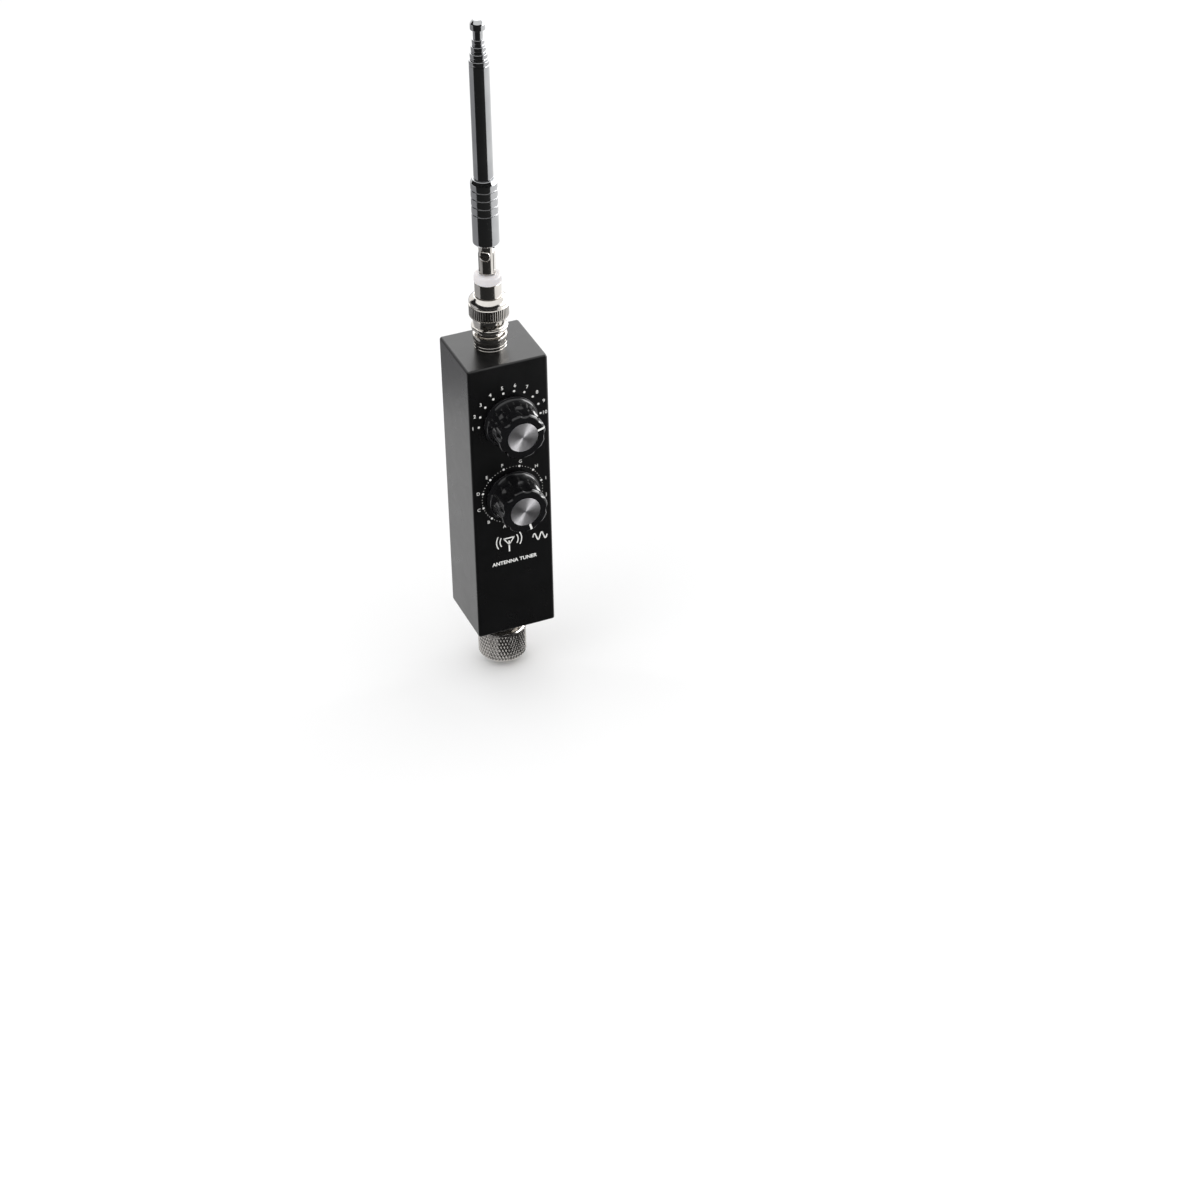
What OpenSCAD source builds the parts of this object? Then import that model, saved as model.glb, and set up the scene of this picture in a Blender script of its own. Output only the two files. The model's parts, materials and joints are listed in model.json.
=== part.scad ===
// Hand-held antenna tuner with a telescopic whip: a slim upright case with a tuning capacitor and a
// twelve-way coil switch behind two knobs, a screw-on coaxial plug below and a bayonet socket on top.
// Millimetres. +Z is up along the connectors' axis, the dials face -Y, and the origin is on that axis
// at the open end of the plug's coupling ring.

/* [Case] */
// Width of the case, left to right
case_w = 30.8; // [30.6:0.1:33]
// Depth of the case, front to back
case_d = 28.4; // [28.2:0.1:31]
// Height of the case
case_h = 116; // [115.5:0.5:120]
// Thickness of the case walls and of the rear cover
wall = 1.5; // [1.4:0.1:1.6]
// Radius of the case's upright edges
edge_r = 1.0; // [0.5:0.1:1.4]
// How far the middle of the case stands to the right of the connectors' axis
axis_shift = 1.0; // [0:0.1:1.2]

/* [Dials] */
// Height of the tuning dial above the case's underside
tune_height = 92.5; // [92:0.1:93.5]
// Height of the band dial above the case's underside
band_height = 60.7; // [60:0.1:61.5]
// Radius of the knob's skirt
skirt_r = 10.4; // [10:0.1:10.8]
// Radius of the knob's grip
grip_r = 8.9; // [8.6:0.1:9.2]
// Height of the knob's top above the case's front face
knob_h = 13; // [12.4:0.1:14]
// Number of finger flutes round the grip
knob_flutes = 8; // [6:1:10]
// Radius of the metal cap let into the knob's top
cap_r = 5.75; // [5.2:0.05:6]
// Radius of the round shafts that carry the knobs
shaft_r = 3.0; // [2.9:0.05:3.1]

/* [Plug] */
// Height of the case's underside above the open end of the coupling ring
plug_drop = 18.5; // [18:0.1:20]
// Outside radius of the coupling ring over its knurl
coupling_r = 9.25; // [9:0.05:9.5]
// Radius of the coupling ring's inner thread, measured at its crests
coupling_bore_r = 7.45; // [7.4:0.05:7.6]
// Radius of the plug's centre pin
plug_pin_r = 1.98; // [1.9:0.02:2.1]
// How far the centre pin stands out of the coupling ring
plug_pin_out = 3.5; // [2.5:0.1:5]

/* [Bayonet] */
// Outside radius of the bayonet socket's barrel
socket_r = 4.8; // [4.75:0.01:4.82]
// Radius of the bayonet ring over its knurl
ring_r = 7.25; // [7:0.05:7.4]

/* [Whip] */
// Height of the elbow's pivot above the top of the case
pivot_height = 37.9; // [37.5:0.1:39]
// Radius of the whip's grip barrel
barrel_r = 4.75; // [4.6:0.05:5]
// Outside radius of the widest telescopic tube
tube_r = 3.5; // [3.4:0.05:3.6]
// Step in radius from one telescopic tube to the next
tube_step = 0.45; // [0.44:0.01:0.46]
// Wall of the telescopic tubes
tube_wall = 0.3; // [0.28:0.01:0.32]
// Height of the widest tube's mouth above the top of the case
tube_top = 112; // [110:1:180]

/* [Hidden] */
$fn = 64;
eps = 0.01;

// Case
front_y = -case_d / 2;
back_y = case_d / 2;
case_z = plug_drop;
top_z = plug_drop + case_h;
inner_w = case_w - 2 * wall;
boss = 4.6;
boss_hole_r = 1.25;
screw_r = 1.2;
cover_gap = 0.15;
cover_screw_len = 8;
screw_head_r = 2.2;
screw_head_h = 1.2;
tune_z = case_z + tune_height;
band_z = case_z + band_height;

// Circuit board behind the switch and the capacitor
board_depth = wall + 11.7;
board_t = 1.6;
board_w = 24.8;
board_z0 = 34;
board_z1 = 121;
board_back_y = front_y + board_depth + board_t;
standoff_x = 10;
standoff_z = [38, 96.3];
standoff_r = 2;

// Tuning capacitor, measured out from the case's front face
cap_half = 10;
cap_back = -12.3;
cap_skin = 1;
cap_front = -wall - 1.5;
cap_screw_x = 7.1;
spigot_r = 4.1;
run_gap = 0.05;
plate_r = 8.2;
plate_t = 0.5;
plate_pitch = 2;
plate_first = -4.45;
plate_count = 3;
hub_r = 3.6;
post_at = 7.9;
post_r = 0.8;
shaft_out = 10.5;

// Twelve-way switch, measured out from the case's front face
positions = 12;
step_deg = 360 / positions;
sw_r = 12.5;
sw_skin = 1.2;
sw_back = -wall - 9;
bush_r = 4.5;
bush_out = 3;
wafer_t = 1;
wheel_r = 8.6;
wheel_front = -3.3;
wheel_t = 2;
wiper_front = -8;
wiper_t = 0.4;
contact_circle_r = 9.5;
contact_r = 0.6;
ball_r = 1;
ball_gap = 0.1;

// Knobs, measured out from the case's front face
knob_gap = 0.6;
skirt_top = 1.8;
flare_top = 4.2;
knob_bore_end = 10.6;
flute_r = 4;
flute_depth = 0.65;
flute_end = 8.2;
knob_well_r = 7.2;
knob_well_end = 3.9;
cap_t = 0.6;
pointer_w = 0.8;
pointer_t = 0.3;
grub_r = 1.5;
grub_at = 7;
tune_point_deg = 15;
band_point_deg = -75;

// Coil
coil_z = 58;
coil_y = board_back_y + 4.5;
core_r = 10.1;
core_hole_r = 6.3;
core_h = 6.35;
turns = 20;
turn_arc = 320;
wire_r = 0.35;
wire_gap = 0.8;
corner_in = 0.1;
lead_r = 0.45;

// Screw-on plug
neck_r = 6.05;
neck_gap = 0.1;
coupling_shoulder = 9.5;
knurl_top = 11.9;
coupling_top = 12.6;
nose_r = 5.9;
nose_bore_r = 4.9;
nose_end = 2.5;
nose_teeth = 4;
plug_face = 8.8;
pin_stem_r = 1.6;
plug_flange_r = 8.4;
plug_flange_t = 3;
thread_r = 5.95;
tag_t = 0.5;
nut_t = 2.5;

// Bayonet socket, heights above the case's top
base_h = 4;
base_r = 5.9;
rim_h = 6.06;
rim_r = 6.25;
barrel_top = 16.6;
socket_bore_r = 4.1;
lug_h = 11.6;
lug_r = 1;
lug_out = 5.45;
lug_turn_deg = -62;
socket_thread_r = 4.7;
socket_back = -6;

// Bayonet ring, heights above the case's top
ring_low = 8.1;
collar_top = 9.7;
knurl_low = 13.4;
knurl_high = 18.2;
groove_top = 18.9;
ring_high = 21.4;
ring_gap = 0.1;
plug_body_r = 4.85;
body_top = 26.9;
insulator_top = 30.1;
insulator_r = 4.95;

// Elbow and whip
pivot_z = top_z + pivot_height;
elbow_turn_deg = -35;
tongue_t = 2.4;
tongue_half = 2.8;
fork_r = 2.9;
fork_slot = 2.6;
fork_low = -7.4;
fork_slot_top = 3.2;
fork_top = 8;
barrel_low = 3.7;
barrel_len = 24.4;
barrel_cone = 1.5;
pivot_r = 1;
flat_at = 2.6;
tube_low = 11;
mouth_len = 2.5;
foot_len = 6;
stick_out = 2.5;
slide_gap = 0.04;

// Parts of the front panel are drawn looking at the panel, with +Z pointing out of it
module at_front(z) {
    translate([axis_shift, front_y, z]) rotate([90, 0, 0]) children();
}

module rod_z(r, low, high) {
    translate([0, 0, low]) cylinder(r = r, h = high - low);
}

module pipe_z(r, hole, low, high) {
    difference() {
        rod_z(r, low, high);
        rod_z(hole, low - eps, high + eps);
    }
}

module hex_z(flats, low, high) {
    translate([0, 0, low]) rotate([0, 0, 30]) cylinder(r = flats / sqrt(3), h = high - low, $fn = 6);
}

// A countersunk screw whose head is flush with z = 0 and whose shank points to -Z
module countersunk_screw(len) {
    difference() {
        union() {
            translate([0, 0, -screw_head_h]) cylinder(r1 = screw_r, r2 = screw_head_r, h = screw_head_h);
            rod_z(screw_r, -len, -screw_head_h + eps);
        }
        for (a = [0, 90]) rotate([0, 0, a]) translate([-1.3, -0.25, -0.7]) cube([2.6, 0.5, 1]);
    }
}

module countersink() {
    translate([0, 0, -screw_head_h])
        cylinder(r1 = boss_hole_r, r2 = screw_head_r + 0.1, h = screw_head_h + 0.05);
    rod_z(boss_hole_r, -4, 0);
}

function tube_radius(k) = tube_r - tube_step * (k - 1);

// ---- Case ----

module case_outline(w, d, r) {
    translate([-w / 2 + r, -d / 2]) square([w - 2 * r, d]);
    translate([-w / 2, -d / 2 + r]) square([w, d - 2 * r]);
    for (sx = [-1, 1], sy = [-1, 1]) translate([sx * (w / 2 - r), sy * (d / 2 - r)]) circle(r = r);
}

module at_cover_screws() {
    for (sx = [-1, 1], z = [case_z + wall + boss / 2, top_z - wall - boss / 2])
        translate([axis_shift + sx * (inner_w / 2 - boss / 2), back_y, z]) rotate([-90, 0, 0]) children();
}

module case_tub() {
    color("#1b1b1d") difference() {
        union() {
            difference() {
                translate([axis_shift, 0, case_z]) linear_extrude(case_h)
                    case_outline(case_w, case_d, edge_r);
                translate([axis_shift - inner_w / 2, front_y + wall, case_z + wall])
                    cube([inner_w, case_d, case_h - 2 * wall]);
            }
            for (sx = [0, 1], sz = [0, 1])
                translate([axis_shift - inner_w / 2 + sx * (inner_w - boss), front_y + wall - eps,
                           case_z + wall + sz * (case_h - 2 * wall - boss)])
                    cube([boss, case_d - 2 * wall, boss]);
        }
        at_cover_screws() rod_z(boss_hole_r, -cover_screw_len - 2, 1);
        at_front(tune_z) rod_z(spigot_r + run_gap, -wall - 1, 1);
        for (s = [-1, 1]) at_front(tune_z) translate([s * cap_screw_x, 0, 0]) countersink();
        at_front(band_z) rod_z(bush_r + run_gap, -wall - 1, 1);
        rod_z(thread_r + run_gap, case_z - 1, case_z + wall + 1);
        rod_z(socket_thread_r + run_gap, top_z - wall - 1, top_z + 1);
    }
}

module rear_cover() {
    cover_w = inner_w - 2 * cover_gap;
    cover_h = case_h - 2 * wall - 2 * cover_gap;
    color("#202022") difference() {
        translate([axis_shift - cover_w / 2, back_y - wall, case_z + wall + cover_gap])
            cube([cover_w, wall, cover_h]);
        at_cover_screws() countersink();
    }
}

module cover_screws() {
    color("#3a3a3c") at_cover_screws() countersunk_screw(cover_screw_len);
}

module at_standoffs() {
    for (sx = [-1, 1], z = standoff_z)
        translate([axis_shift + sx * standoff_x, front_y, z]) rotate([90, 0, 0]) children();
}

module circuit_board() {
    color("#1f5b3a") difference() {
        translate([axis_shift - board_w / 2, board_back_y - board_t, board_z0])
            cube([board_w, board_t, board_z1 - board_z0]);
        at_standoffs() rod_z(boss_hole_r, -board_depth - board_t - 1, -board_depth + 1);
    }
}

module board_standoffs() {
    color("#c9a24a") at_standoffs() pipe_z(standoff_r, boss_hole_r, -board_depth, -wall);
}

module board_screws() {
    color("#c8c8c8") at_standoffs() translate([0, 0, -board_depth - board_t]) rotate([180, 0, 0])
    difference() {
        union() {
            rod_z(standoff_r + 0.2, 0, 1.1);
            rod_z(screw_r, -7, eps);
        }
        translate([-1.4, -0.25, 0.5]) cube([2.8, 0.5, 1]);
    }
}

// ---- Tuning capacitor ----

module half_disc(r, low, high, turn) {
    rotate([0, 0, turn]) intersection() {
        rod_z(r, low, high);
        translate([-r - 1, 0, low - 1]) cube([2 * r + 2, r + 1, high - low + 2]);
    }
}

module tuning_capacitor_housing() {
    color("#e4e0d2") at_front(tune_z) difference() {
        union() {
            translate([-cap_half, -cap_half, cap_back]) cube([2 * cap_half, 2 * cap_half, -wall - cap_back]);
            rod_z(spigot_r, -wall - eps, -0.1);
        }
        translate([-cap_half + cap_skin, -cap_half + cap_skin, cap_back + cap_skin])
            cube([2 * (cap_half - cap_skin), 2 * (cap_half - cap_skin), cap_front - cap_back - cap_skin]);
        rod_z(shaft_r + run_gap, cap_front - 1, 1);
        for (s = [-1, 1]) translate([s * cap_screw_x, 0, 0]) rod_z(boss_hole_r, cap_front - 1, 0);
        for (s = [-1, 1]) translate([s * post_at, -post_at, 0]) rod_z(post_r, cap_back - 1, cap_back + 2);
    }
}

module tuning_capacitor_stator() {
    color("#cfd2d4") at_front(tune_z) {
        for (k = [0 : plate_count - 1]) difference() {
            low = plate_first - plate_pitch / 2 - k * plate_pitch;
            union() {
                half_disc(plate_r + 0.2, low, low + plate_t, 180);
                for (s = [-1, 1]) translate([s * post_at - 1, -post_at - 1, low]) cube([2, 6, plate_t]);
            }
            rod_z(hub_r + 0.4, low - 1, low + 1);
        }
        for (s = [-1, 1]) translate([s * post_at, -post_at, 0]) rod_z(post_r, -board_depth, -4);
    }
}

module tuning_capacitor_screws() {
    color("#c8c8c8") at_front(tune_z) for (s = [-1, 1]) translate([s * cap_screw_x, 0, 0])
        countersunk_screw(-cap_front);
}

module tuning_capacitor_rotor() {
    color("#d8b45a") at_front(tune_z) difference() {
        union() {
            rod_z(hub_r, -10.6, cap_front - 0.2);
            for (k = [0 : plate_count - 1]) {
                low = plate_first - k * plate_pitch;
                half_disc(plate_r, low, low + plate_t, 180);
            }
        }
        rod_z(shaft_r, -11, 0);
    }
}

module tuning_shaft() {
    color("#d8b45a") at_front(tune_z) rod_z(shaft_r, -10.8, shaft_out);
}

// ---- Knobs ----

// Full-size knob whose pointer lies along +X
module knob_body() {
    difference() {
        union() {
            rod_z(skirt_r, knob_gap, skirt_top - 0.2);
            translate([0, 0, skirt_top - 0.2 - eps])
                cylinder(r1 = skirt_r, r2 = skirt_r - 0.2, h = 0.2 + 2 * eps);
            translate([0, 0, skirt_top])
                cylinder(r1 = skirt_r - 0.2, r2 = grip_r + 0.15, h = flare_top - skirt_top);
            translate([0, 0, flare_top - eps])
                cylinder(r1 = grip_r + 0.15, r2 = grip_r, h = knob_h - flare_top - 0.5);
            translate([0, 0, knob_h - 0.5 - 2 * eps])
                cylinder(r1 = grip_r, r2 = grip_r - 0.5, h = 0.5 + 2 * eps);
        }
        for (k = [0 : knob_flutes - 1]) rotate([0, 0, (k + 0.5) * 360 / knob_flutes])
            translate([grip_r - flute_depth + flute_r, 0, flute_end]) {
                cylinder(r = flute_r, h = knob_h);
                sphere(r = flute_r);
            }
        rod_z(knob_well_r, 0, knob_well_end);
        rod_z(shaft_r, 0, knob_bore_end);
        rod_z(cap_r + 0.03, knob_h - cap_t, knob_h + 1);
        translate([0, 0, grub_at]) rotate([0, 90, 0]) rod_z(grub_r, shaft_r - 1, grip_r + 2);
        translate([cap_r, -pointer_w / 2, knob_h - pointer_t]) cube([grip_r, pointer_w, 1]);
    }
}

module knob_cap() {
    rod_z(cap_r, knob_h - cap_t, knob_h);
}

module knob_pointer() {
    translate([cap_r + 0.05, -pointer_w / 2, knob_h - pointer_t])
        cube([grip_r - 0.6 - cap_r, pointer_w, pointer_t]);
}

module knob_setscrew() {
    translate([0, 0, grub_at]) rotate([0, 90, 0]) difference() {
        rod_z(grub_r - 0.02, shaft_r + 0.05, shaft_r + 4);
        translate([0, 0, shaft_r + 2.6]) cylinder(r = 0.85, h = 3, $fn = 6);
    }
}

module at_tune_knob() {
    at_front(tune_z) rotate([0, 0, tune_point_deg]) children();
}

module at_band_knob() {
    at_front(band_z) rotate([0, 0, band_point_deg]) children();
}

module tuning_knob() { color("#111113") at_tune_knob() knob_body(); }
module tuning_knob_cap() { color("#b9babd") at_tune_knob() knob_cap(); }
module tuning_knob_pointer() { color("#f2f2f0") at_tune_knob() knob_pointer(); }
module tuning_knob_setscrew() { color("#3a3a3c") at_tune_knob() knob_setscrew(); }
module band_knob() { color("#111113") at_band_knob() knob_body(); }
module band_knob_cap() { color("#b9babd") at_band_knob() knob_cap(); }
module band_knob_pointer() { color("#f2f2f0") at_band_knob() knob_pointer(); }
module band_knob_setscrew() { color("#3a3a3c") at_band_knob() knob_setscrew(); }

// ---- Twelve-way switch ----

module band_switch_housing() {
    color("#8f9296") at_front(band_z) difference() {
        union() {
            rod_z(sw_r, sw_back, -wall);
            rod_z(bush_r, -wall - eps, bush_out);
        }
        rod_z(sw_r - sw_skin, sw_back - 1, -wall - sw_skin);
        rod_z(shaft_r + run_gap, -wall - sw_skin - 1, bush_out + 1);
    }
}

module band_switch_wafer() {
    color("#7a4a2a") at_front(band_z) difference() {
        rod_z(sw_r - sw_skin, sw_back, sw_back + wafer_t);
        for (k = [0 : positions - 1]) rotate([0, 0, (k + 0.5) * step_deg])
            translate([contact_circle_r, 0, 0]) rod_z(contact_r, sw_back - 1, sw_back + 2);
        translate([0, 5, 0]) rod_z(contact_r, sw_back - 1, sw_back + 2);
    }
}

module band_switch_contacts() {
    top = sw_back + wafer_t;
    color("#d8b45a") at_front(band_z) {
        for (k = [0 : positions - 1]) rotate([0, 0, (k + 0.5) * step_deg])
            translate([contact_circle_r, 0, 0]) {
                rod_z(contact_r, -board_depth, top + eps);
                rod_z(contact_r + 0.4, top, top + 0.6);
            }
        pipe_z(5.8, 4.2, top, top + 0.6);
        translate([0, 5, 0]) rod_z(contact_r, -board_depth, top + eps);
    }
}

module band_switch_detent() {
    color("#d0d0d0") at_front(band_z) rotate([0, 0, 90]) {
        translate([wheel_r + ball_gap + ball_r, 0, wheel_front - wheel_t / 2]) sphere(r = ball_r);
        translate([wheel_r + ball_gap + 2 * ball_r - 0.3, -1.5, wheel_front - wheel_t])
            cube([0.8, 3, wheel_t]);
    }
}

module band_switch_washer() {
    color("#c8c8c8") at_front(band_z) pipe_z(6.2, bush_r + run_gap, 0, 0.5);
}

module band_switch_nut() {
    color("#c8c8c8") at_front(band_z) difference() {
        hex_z(11, 0.5, 2.5);
        rod_z(bush_r + run_gap, 0, 3);
    }
}

module band_switch_rotor() {
    color("#e8e4d6") at_front(band_z) difference() {
        union() {
            rod_z(wheel_r, wheel_front - wheel_t, wheel_front);
            rod_z(4, wiper_front, wheel_front);
        }
        for (k = [0 : positions - 1]) rotate([0, 0, k * step_deg])
            translate([wheel_r + 0.5, 0, 0]) rod_z(1.1, wheel_front - wheel_t - 1, wheel_front + 1);
        rod_z(shaft_r, wiper_front - 1, 0);
    }
}

module band_switch_wiper() {
    color("#d8b45a") at_front(band_z) rotate([0, 0, band_point_deg]) difference() {
        union() {
            rod_z(4, wiper_front - wiper_t, wiper_front);
            translate([0, -1, wiper_front - wiper_t]) cube([contact_circle_r + 0.8, 2, wiper_t]);
        }
        rod_z(shaft_r, wiper_front - 1, 0);
    }
}

module band_switch_shaft() {
    color("#c9cacc") at_front(band_z) rod_z(shaft_r, wiper_front - wiper_t, shaft_out);
}

// ---- Coil and wiring ----

// One tube swept along a list of points, with flat ends
module swept_wire(path, r, sides = 6) {
    last = len(path) - 1;
    function along(i) = path[min(i + 1, last)] - path[max(i - 1, 0)];
    function unit(v) = v / norm(v);
    function side_of(t) = unit(cross(t, abs(t[2]) > 0.9 * norm(t) ? [1, 0.1, 0] : [0, 0.1, 1]));
    function ring(i) = let (t = unit(along(i)), u = side_of(t), v = cross(t, u))
        [for (k = [0 : sides - 1]) path[i] + r * (cos(k * 360 / sides) * u + sin(k * 360 / sides) * v)];
    points = [for (i = [0 : last]) each ring(i)];
    walls = [for (i = [0 : last - 1], k = [0 : sides - 1])
        let (a = i * sides + k, b = i * sides + (k + 1) % sides)
            each [[a, b, b + sides], [a, b + sides, a + sides]]];
    ends = [[for (k = [sides - 1 : -1 : 0]) k], [for (k = [0 : sides - 1]) last * sides + k]];
    polyhedron(points, concat(walls, ends));
}

module at_coil() {
    translate([axis_shift, coil_y, coil_z]) rotate([90, 0, 0]) children();
}

module coil_core() {
    color("#b32d22") at_coil() pipe_z(core_r, core_hole_r, -core_h / 2, core_h / 2);
}

// Eight stations round the core's section, as [distance from the coil's axis, height]
turn_stations = [
    [core_r + wire_gap, corner_in - core_h / 2], [core_r + wire_gap, core_h / 2 - corner_in],
    [core_r - corner_in, core_h / 2 + wire_gap], [core_hole_r + corner_in, core_h / 2 + wire_gap],
    [core_hole_r - wire_gap, core_h / 2 - corner_in], [core_hole_r - wire_gap, corner_in - core_h / 2],
    [core_hole_r + corner_in, -core_h / 2 - wire_gap], [core_r - corner_in, -core_h / 2 - wire_gap]
];

module coil_winding() {
    count = turns * 8;
    path = [for (i = [0 : count - 1]) let (s = turn_stations[i % 8], a = i * turn_arc / count + 110)
        [s[0] * cos(a), s[0] * sin(a), s[1]]];
    color("#b5672e") at_coil() swept_wire(path, wire_r, 5);
}

module coil_clamp() {
    color("#e8e4d6") at_coil() {
        rod_z(2.4, -core_h / 2 - 2, 4.5);
        rod_z(8, -core_h / 2 - 2.6, -core_h / 2 - 1.4);
    }
}

// The two middle leads run from the connectors' centre contacts and the two side ones from their solder tags
module hookup_wires() {
    back = board_back_y;
    color("#c23b30") {
        swept_wire([[0, 0, top_z - 10], [0, 0, 123.2], [0.3, 1.2, 122], [0.8, 2.3, 120.6], [1, 2.4, 119],
                    [1, 1.9, 117.6], [1, 1.2, 117], [1, back, 117]], lead_r);
        swept_wire([[0, 0, case_z + 9.5], [0, 0.3, 29.6], [0.2, 1.4, 31.2], [0.6, 2.3, 33], [1, 2.6, 35],
                    [1, 2.2, 36.6], [1, 1.3, 37.4], [1, back, 37.4]], lead_r);
    }
    color("#2d2d2f") {
        swept_wire([[6.2, 7.85, top_z - 6], [6.2, 7.6, 127], [6, 6.6, 124.6], [5.4, 4.8, 121.6],
                    [5, 2.8, 119.4], [5, 1.6, 117.8], [5, back, 117.8]], lead_r);
        swept_wire([[6.4, 8.35, case_z + 6], [6.4, 8.2, 26], [6.2, 7, 29], [5.4, 4.8, 32.4],
                    [5, 2.8, 35], [5, 1.6, 36.8], [5, back, 36.8]], lead_r);
    }
}

// ---- Screw-on plug ----

module plug_body() {
    color("#c9cacc") difference() {
        union() {
            rod_z(nose_r, nose_end, plug_face + eps);
            rod_z(7, coupling_shoulder - 1.6, coupling_shoulder - 0.3);
            rod_z(neck_r, coupling_shoulder - 0.3 - eps, case_z - plug_flange_t + eps);
            rod_z(plug_flange_r, case_z - plug_flange_t, case_z - 0.4);
            translate([0, 0, case_z - 0.4 - eps])
                cylinder(r1 = plug_flange_r, r2 = plug_flange_r - 0.3, h = 0.4 + eps);
            rod_z(thread_r, case_z - eps, case_z + wall + tag_t + nut_t + 1.5);
        }
        rod_z(nose_bore_r, nose_end - 1, case_z + 8);
        for (k = [0 : nose_teeth - 1]) rotate([0, 0, 45 + k * 360 / nose_teeth])
            translate([nose_bore_r - 1, -0.8, nose_end - 1]) cube([3, 1.6, 2.2]);
    }
}

module plug_insulator() {
    color("#efece2") difference() {
        rod_z(nose_bore_r, plug_face, case_z + 6.5);
        rod_z(pin_stem_r, plug_face - 1, case_z + 4);
        rod_z(1.2, case_z + 3, case_z + 8);
    }
}

module plug_pin() {
    color("#d9c27a") {
        rod_z(plug_pin_r, -plug_pin_out + 0.8, plug_face);
        rod_z(pin_stem_r, plug_face - eps, case_z + 4);
        translate([0, 0, -plug_pin_out]) cylinder(r1 = 0.9, r2 = plug_pin_r, h = 0.8 + eps);
        rod_z(1.2, case_z + 4 - eps, case_z + 9.5);
    }
}

module solder_tag(hole, r, low, ear_x, ear_y) {
    difference() {
        union() {
            rod_z(r, low, low + tag_t);
            translate([ear_x - 1.2, ear_y - 3.2, low]) cube([2.4, 4, tag_t]);
        }
        rod_z(hole, low - 1, low + 1);
    }
}

module plug_solder_tag() {
    low = case_z + wall;
    color("#d8c690") {
        solder_tag(thread_r + run_gap, 7.9, low, 6.4, 7.9);
        translate([5.4, 8.1, low]) cube([2, 0.5, 4.5]);
    }
}

module plug_nut() {
    color("#c8c8c8") difference() {
        hex_z(14.6, case_z + wall + tag_t, case_z + wall + tag_t + nut_t);
        rod_z(thread_r + run_gap, case_z, case_z + 8);
    }
}

module plug_coupling() {
    color("#c0c1c4") difference() {
        union() {
            translate([0, 0, 0]) cylinder(r1 = coupling_r - 0.6, r2 = coupling_r, h = 0.6);
            rod_z(coupling_r, 0.6 - eps, knurl_top);
            translate([0, 0, knurl_top - eps])
                cylinder(r1 = coupling_r, r2 = coupling_r - 0.6, h = coupling_top - knurl_top + eps);
        }
        rod_z(coupling_bore_r, -1, coupling_shoulder);
        rod_z(neck_r + neck_gap, 0, coupling_top + 1);
    }
}

// ---- Bayonet socket ----

module socket_shell() {
    color("#c9cacc") translate([0, 0, top_z]) difference() {
        union() {
            rod_z(socket_thread_r, socket_back, eps);
            rod_z(base_r, 0, base_h + eps);
            rod_z(rim_r, base_h, rim_h);
            rod_z(socket_r, rim_h - eps, barrel_top);
            for (s = [0, 180]) rotate([0, 0, lug_turn_deg + s]) translate([0, 0, lug_h]) rotate([0, 90, 0])
                rod_z(lug_r, socket_bore_r, lug_out);
        }
        rod_z(socket_bore_r, 7.5, barrel_top + 1);
        rod_z(3.2, socket_back - 1, 8);
    }
}

module socket_insulator() {
    color("#f2efe6") translate([0, 0, top_z]) difference() {
        union() {
            rod_z(3.2, socket_back, 7.5);
            rod_z(2.45, 7.5 - eps, 15.5);
        }
        rod_z(1.1, socket_back - 1, 16);
    }
}

module socket_contact() {
    color("#d9c27a") translate([0, 0, top_z]) difference() {
        rod_z(1.1, -10, 13);
        rod_z(0.72, 6, 14);
    }
}

module socket_solder_tag() {
    low = top_z - wall - tag_t;
    color("#d8c690") {
        solder_tag(socket_thread_r + run_gap, 7.2, low, 6.2, 7.4);
        translate([5.2, 7.6, low - 4]) cube([2, 0.5, 4.2]);
    }
}

module socket_nut() {
    color("#c8c8c8") difference() {
        hex_z(13.4, top_z - wall - tag_t - nut_t, top_z - wall - tag_t);
        rod_z(socket_thread_r + run_gap, top_z - 8, top_z);
    }
}

// ---- Whip's bayonet plug ----

module bayonet_ring() {
    color("#c9cacc") translate([0, 0, top_z]) difference() {
        union() {
            translate([0, 0, ring_low]) cylinder(r1 = 6.35, r2 = 6.65, h = 0.4);
            rod_z(6.65, ring_low + 0.4 - eps, collar_top - 0.4);
            translate([0, 0, collar_top - 0.4 - eps]) cylinder(r1 = 6.65, r2 = 5.8, h = 0.4 + eps);
            translate([0, 0, collar_top - eps])
                cylinder(r1 = 5.75, r2 = 6, h = knurl_low - collar_top + 2 * eps);
            rod_z(ring_r, knurl_low, knurl_high);
            rod_z(ring_r - 0.4, knurl_high - eps, groove_top + eps);
            rod_z(ring_r - 0.1, groove_top, 19.6);
            translate([0, 0, 19.6 - eps]) cylinder(r1 = ring_r - 0.1, r2 = 6.6, h = 0.8 + eps);
            translate([0, 0, 20.4 - eps]) cylinder(r1 = 6.6, r2 = 5.3, h = ring_high - 20.4 + eps);
        }
        rod_z(socket_r + ring_gap, 0, ring_high);
        rod_z(plug_body_r + ring_gap, 0, ring_high + 1);
        rod_z(5.6, lug_h - 1.3, lug_h + 1.3);
        rod_z(6.1, 14.2, 19.6);
        for (s = [0, 180]) rotate([0, 0, lug_turn_deg + s]) {
            translate([0, 0, lug_h]) rotate([0, 90, 0]) rod_z(lug_r + 0.15, 4, 8);
            rotate([0, 0, -90]) translate([4, -1.3, ring_low - 1]) cube([1.6, 2.6, lug_h - ring_low + 1]);
        }
    }
}

module whip_plug_body() {
    color("#c9cacc") translate([0, 0, top_z]) difference() {
        union() {
            rod_z(socket_bore_r - 0.05, 8.2, 17.4);
            rod_z(5.9, 17.2, 19.4);
            rod_z(plug_body_r, 19.4 - eps, body_top - 0.3);
            translate([0, 0, body_top - 0.3 - eps])
                cylinder(r1 = plug_body_r, r2 = plug_body_r - 0.25, h = 0.3 + eps);
        }
        rod_z(3.3, 8, 18);
        rod_z(2.6, 17, 23);
        rod_z(3.6, 22, body_top + 1);
    }
}

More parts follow.
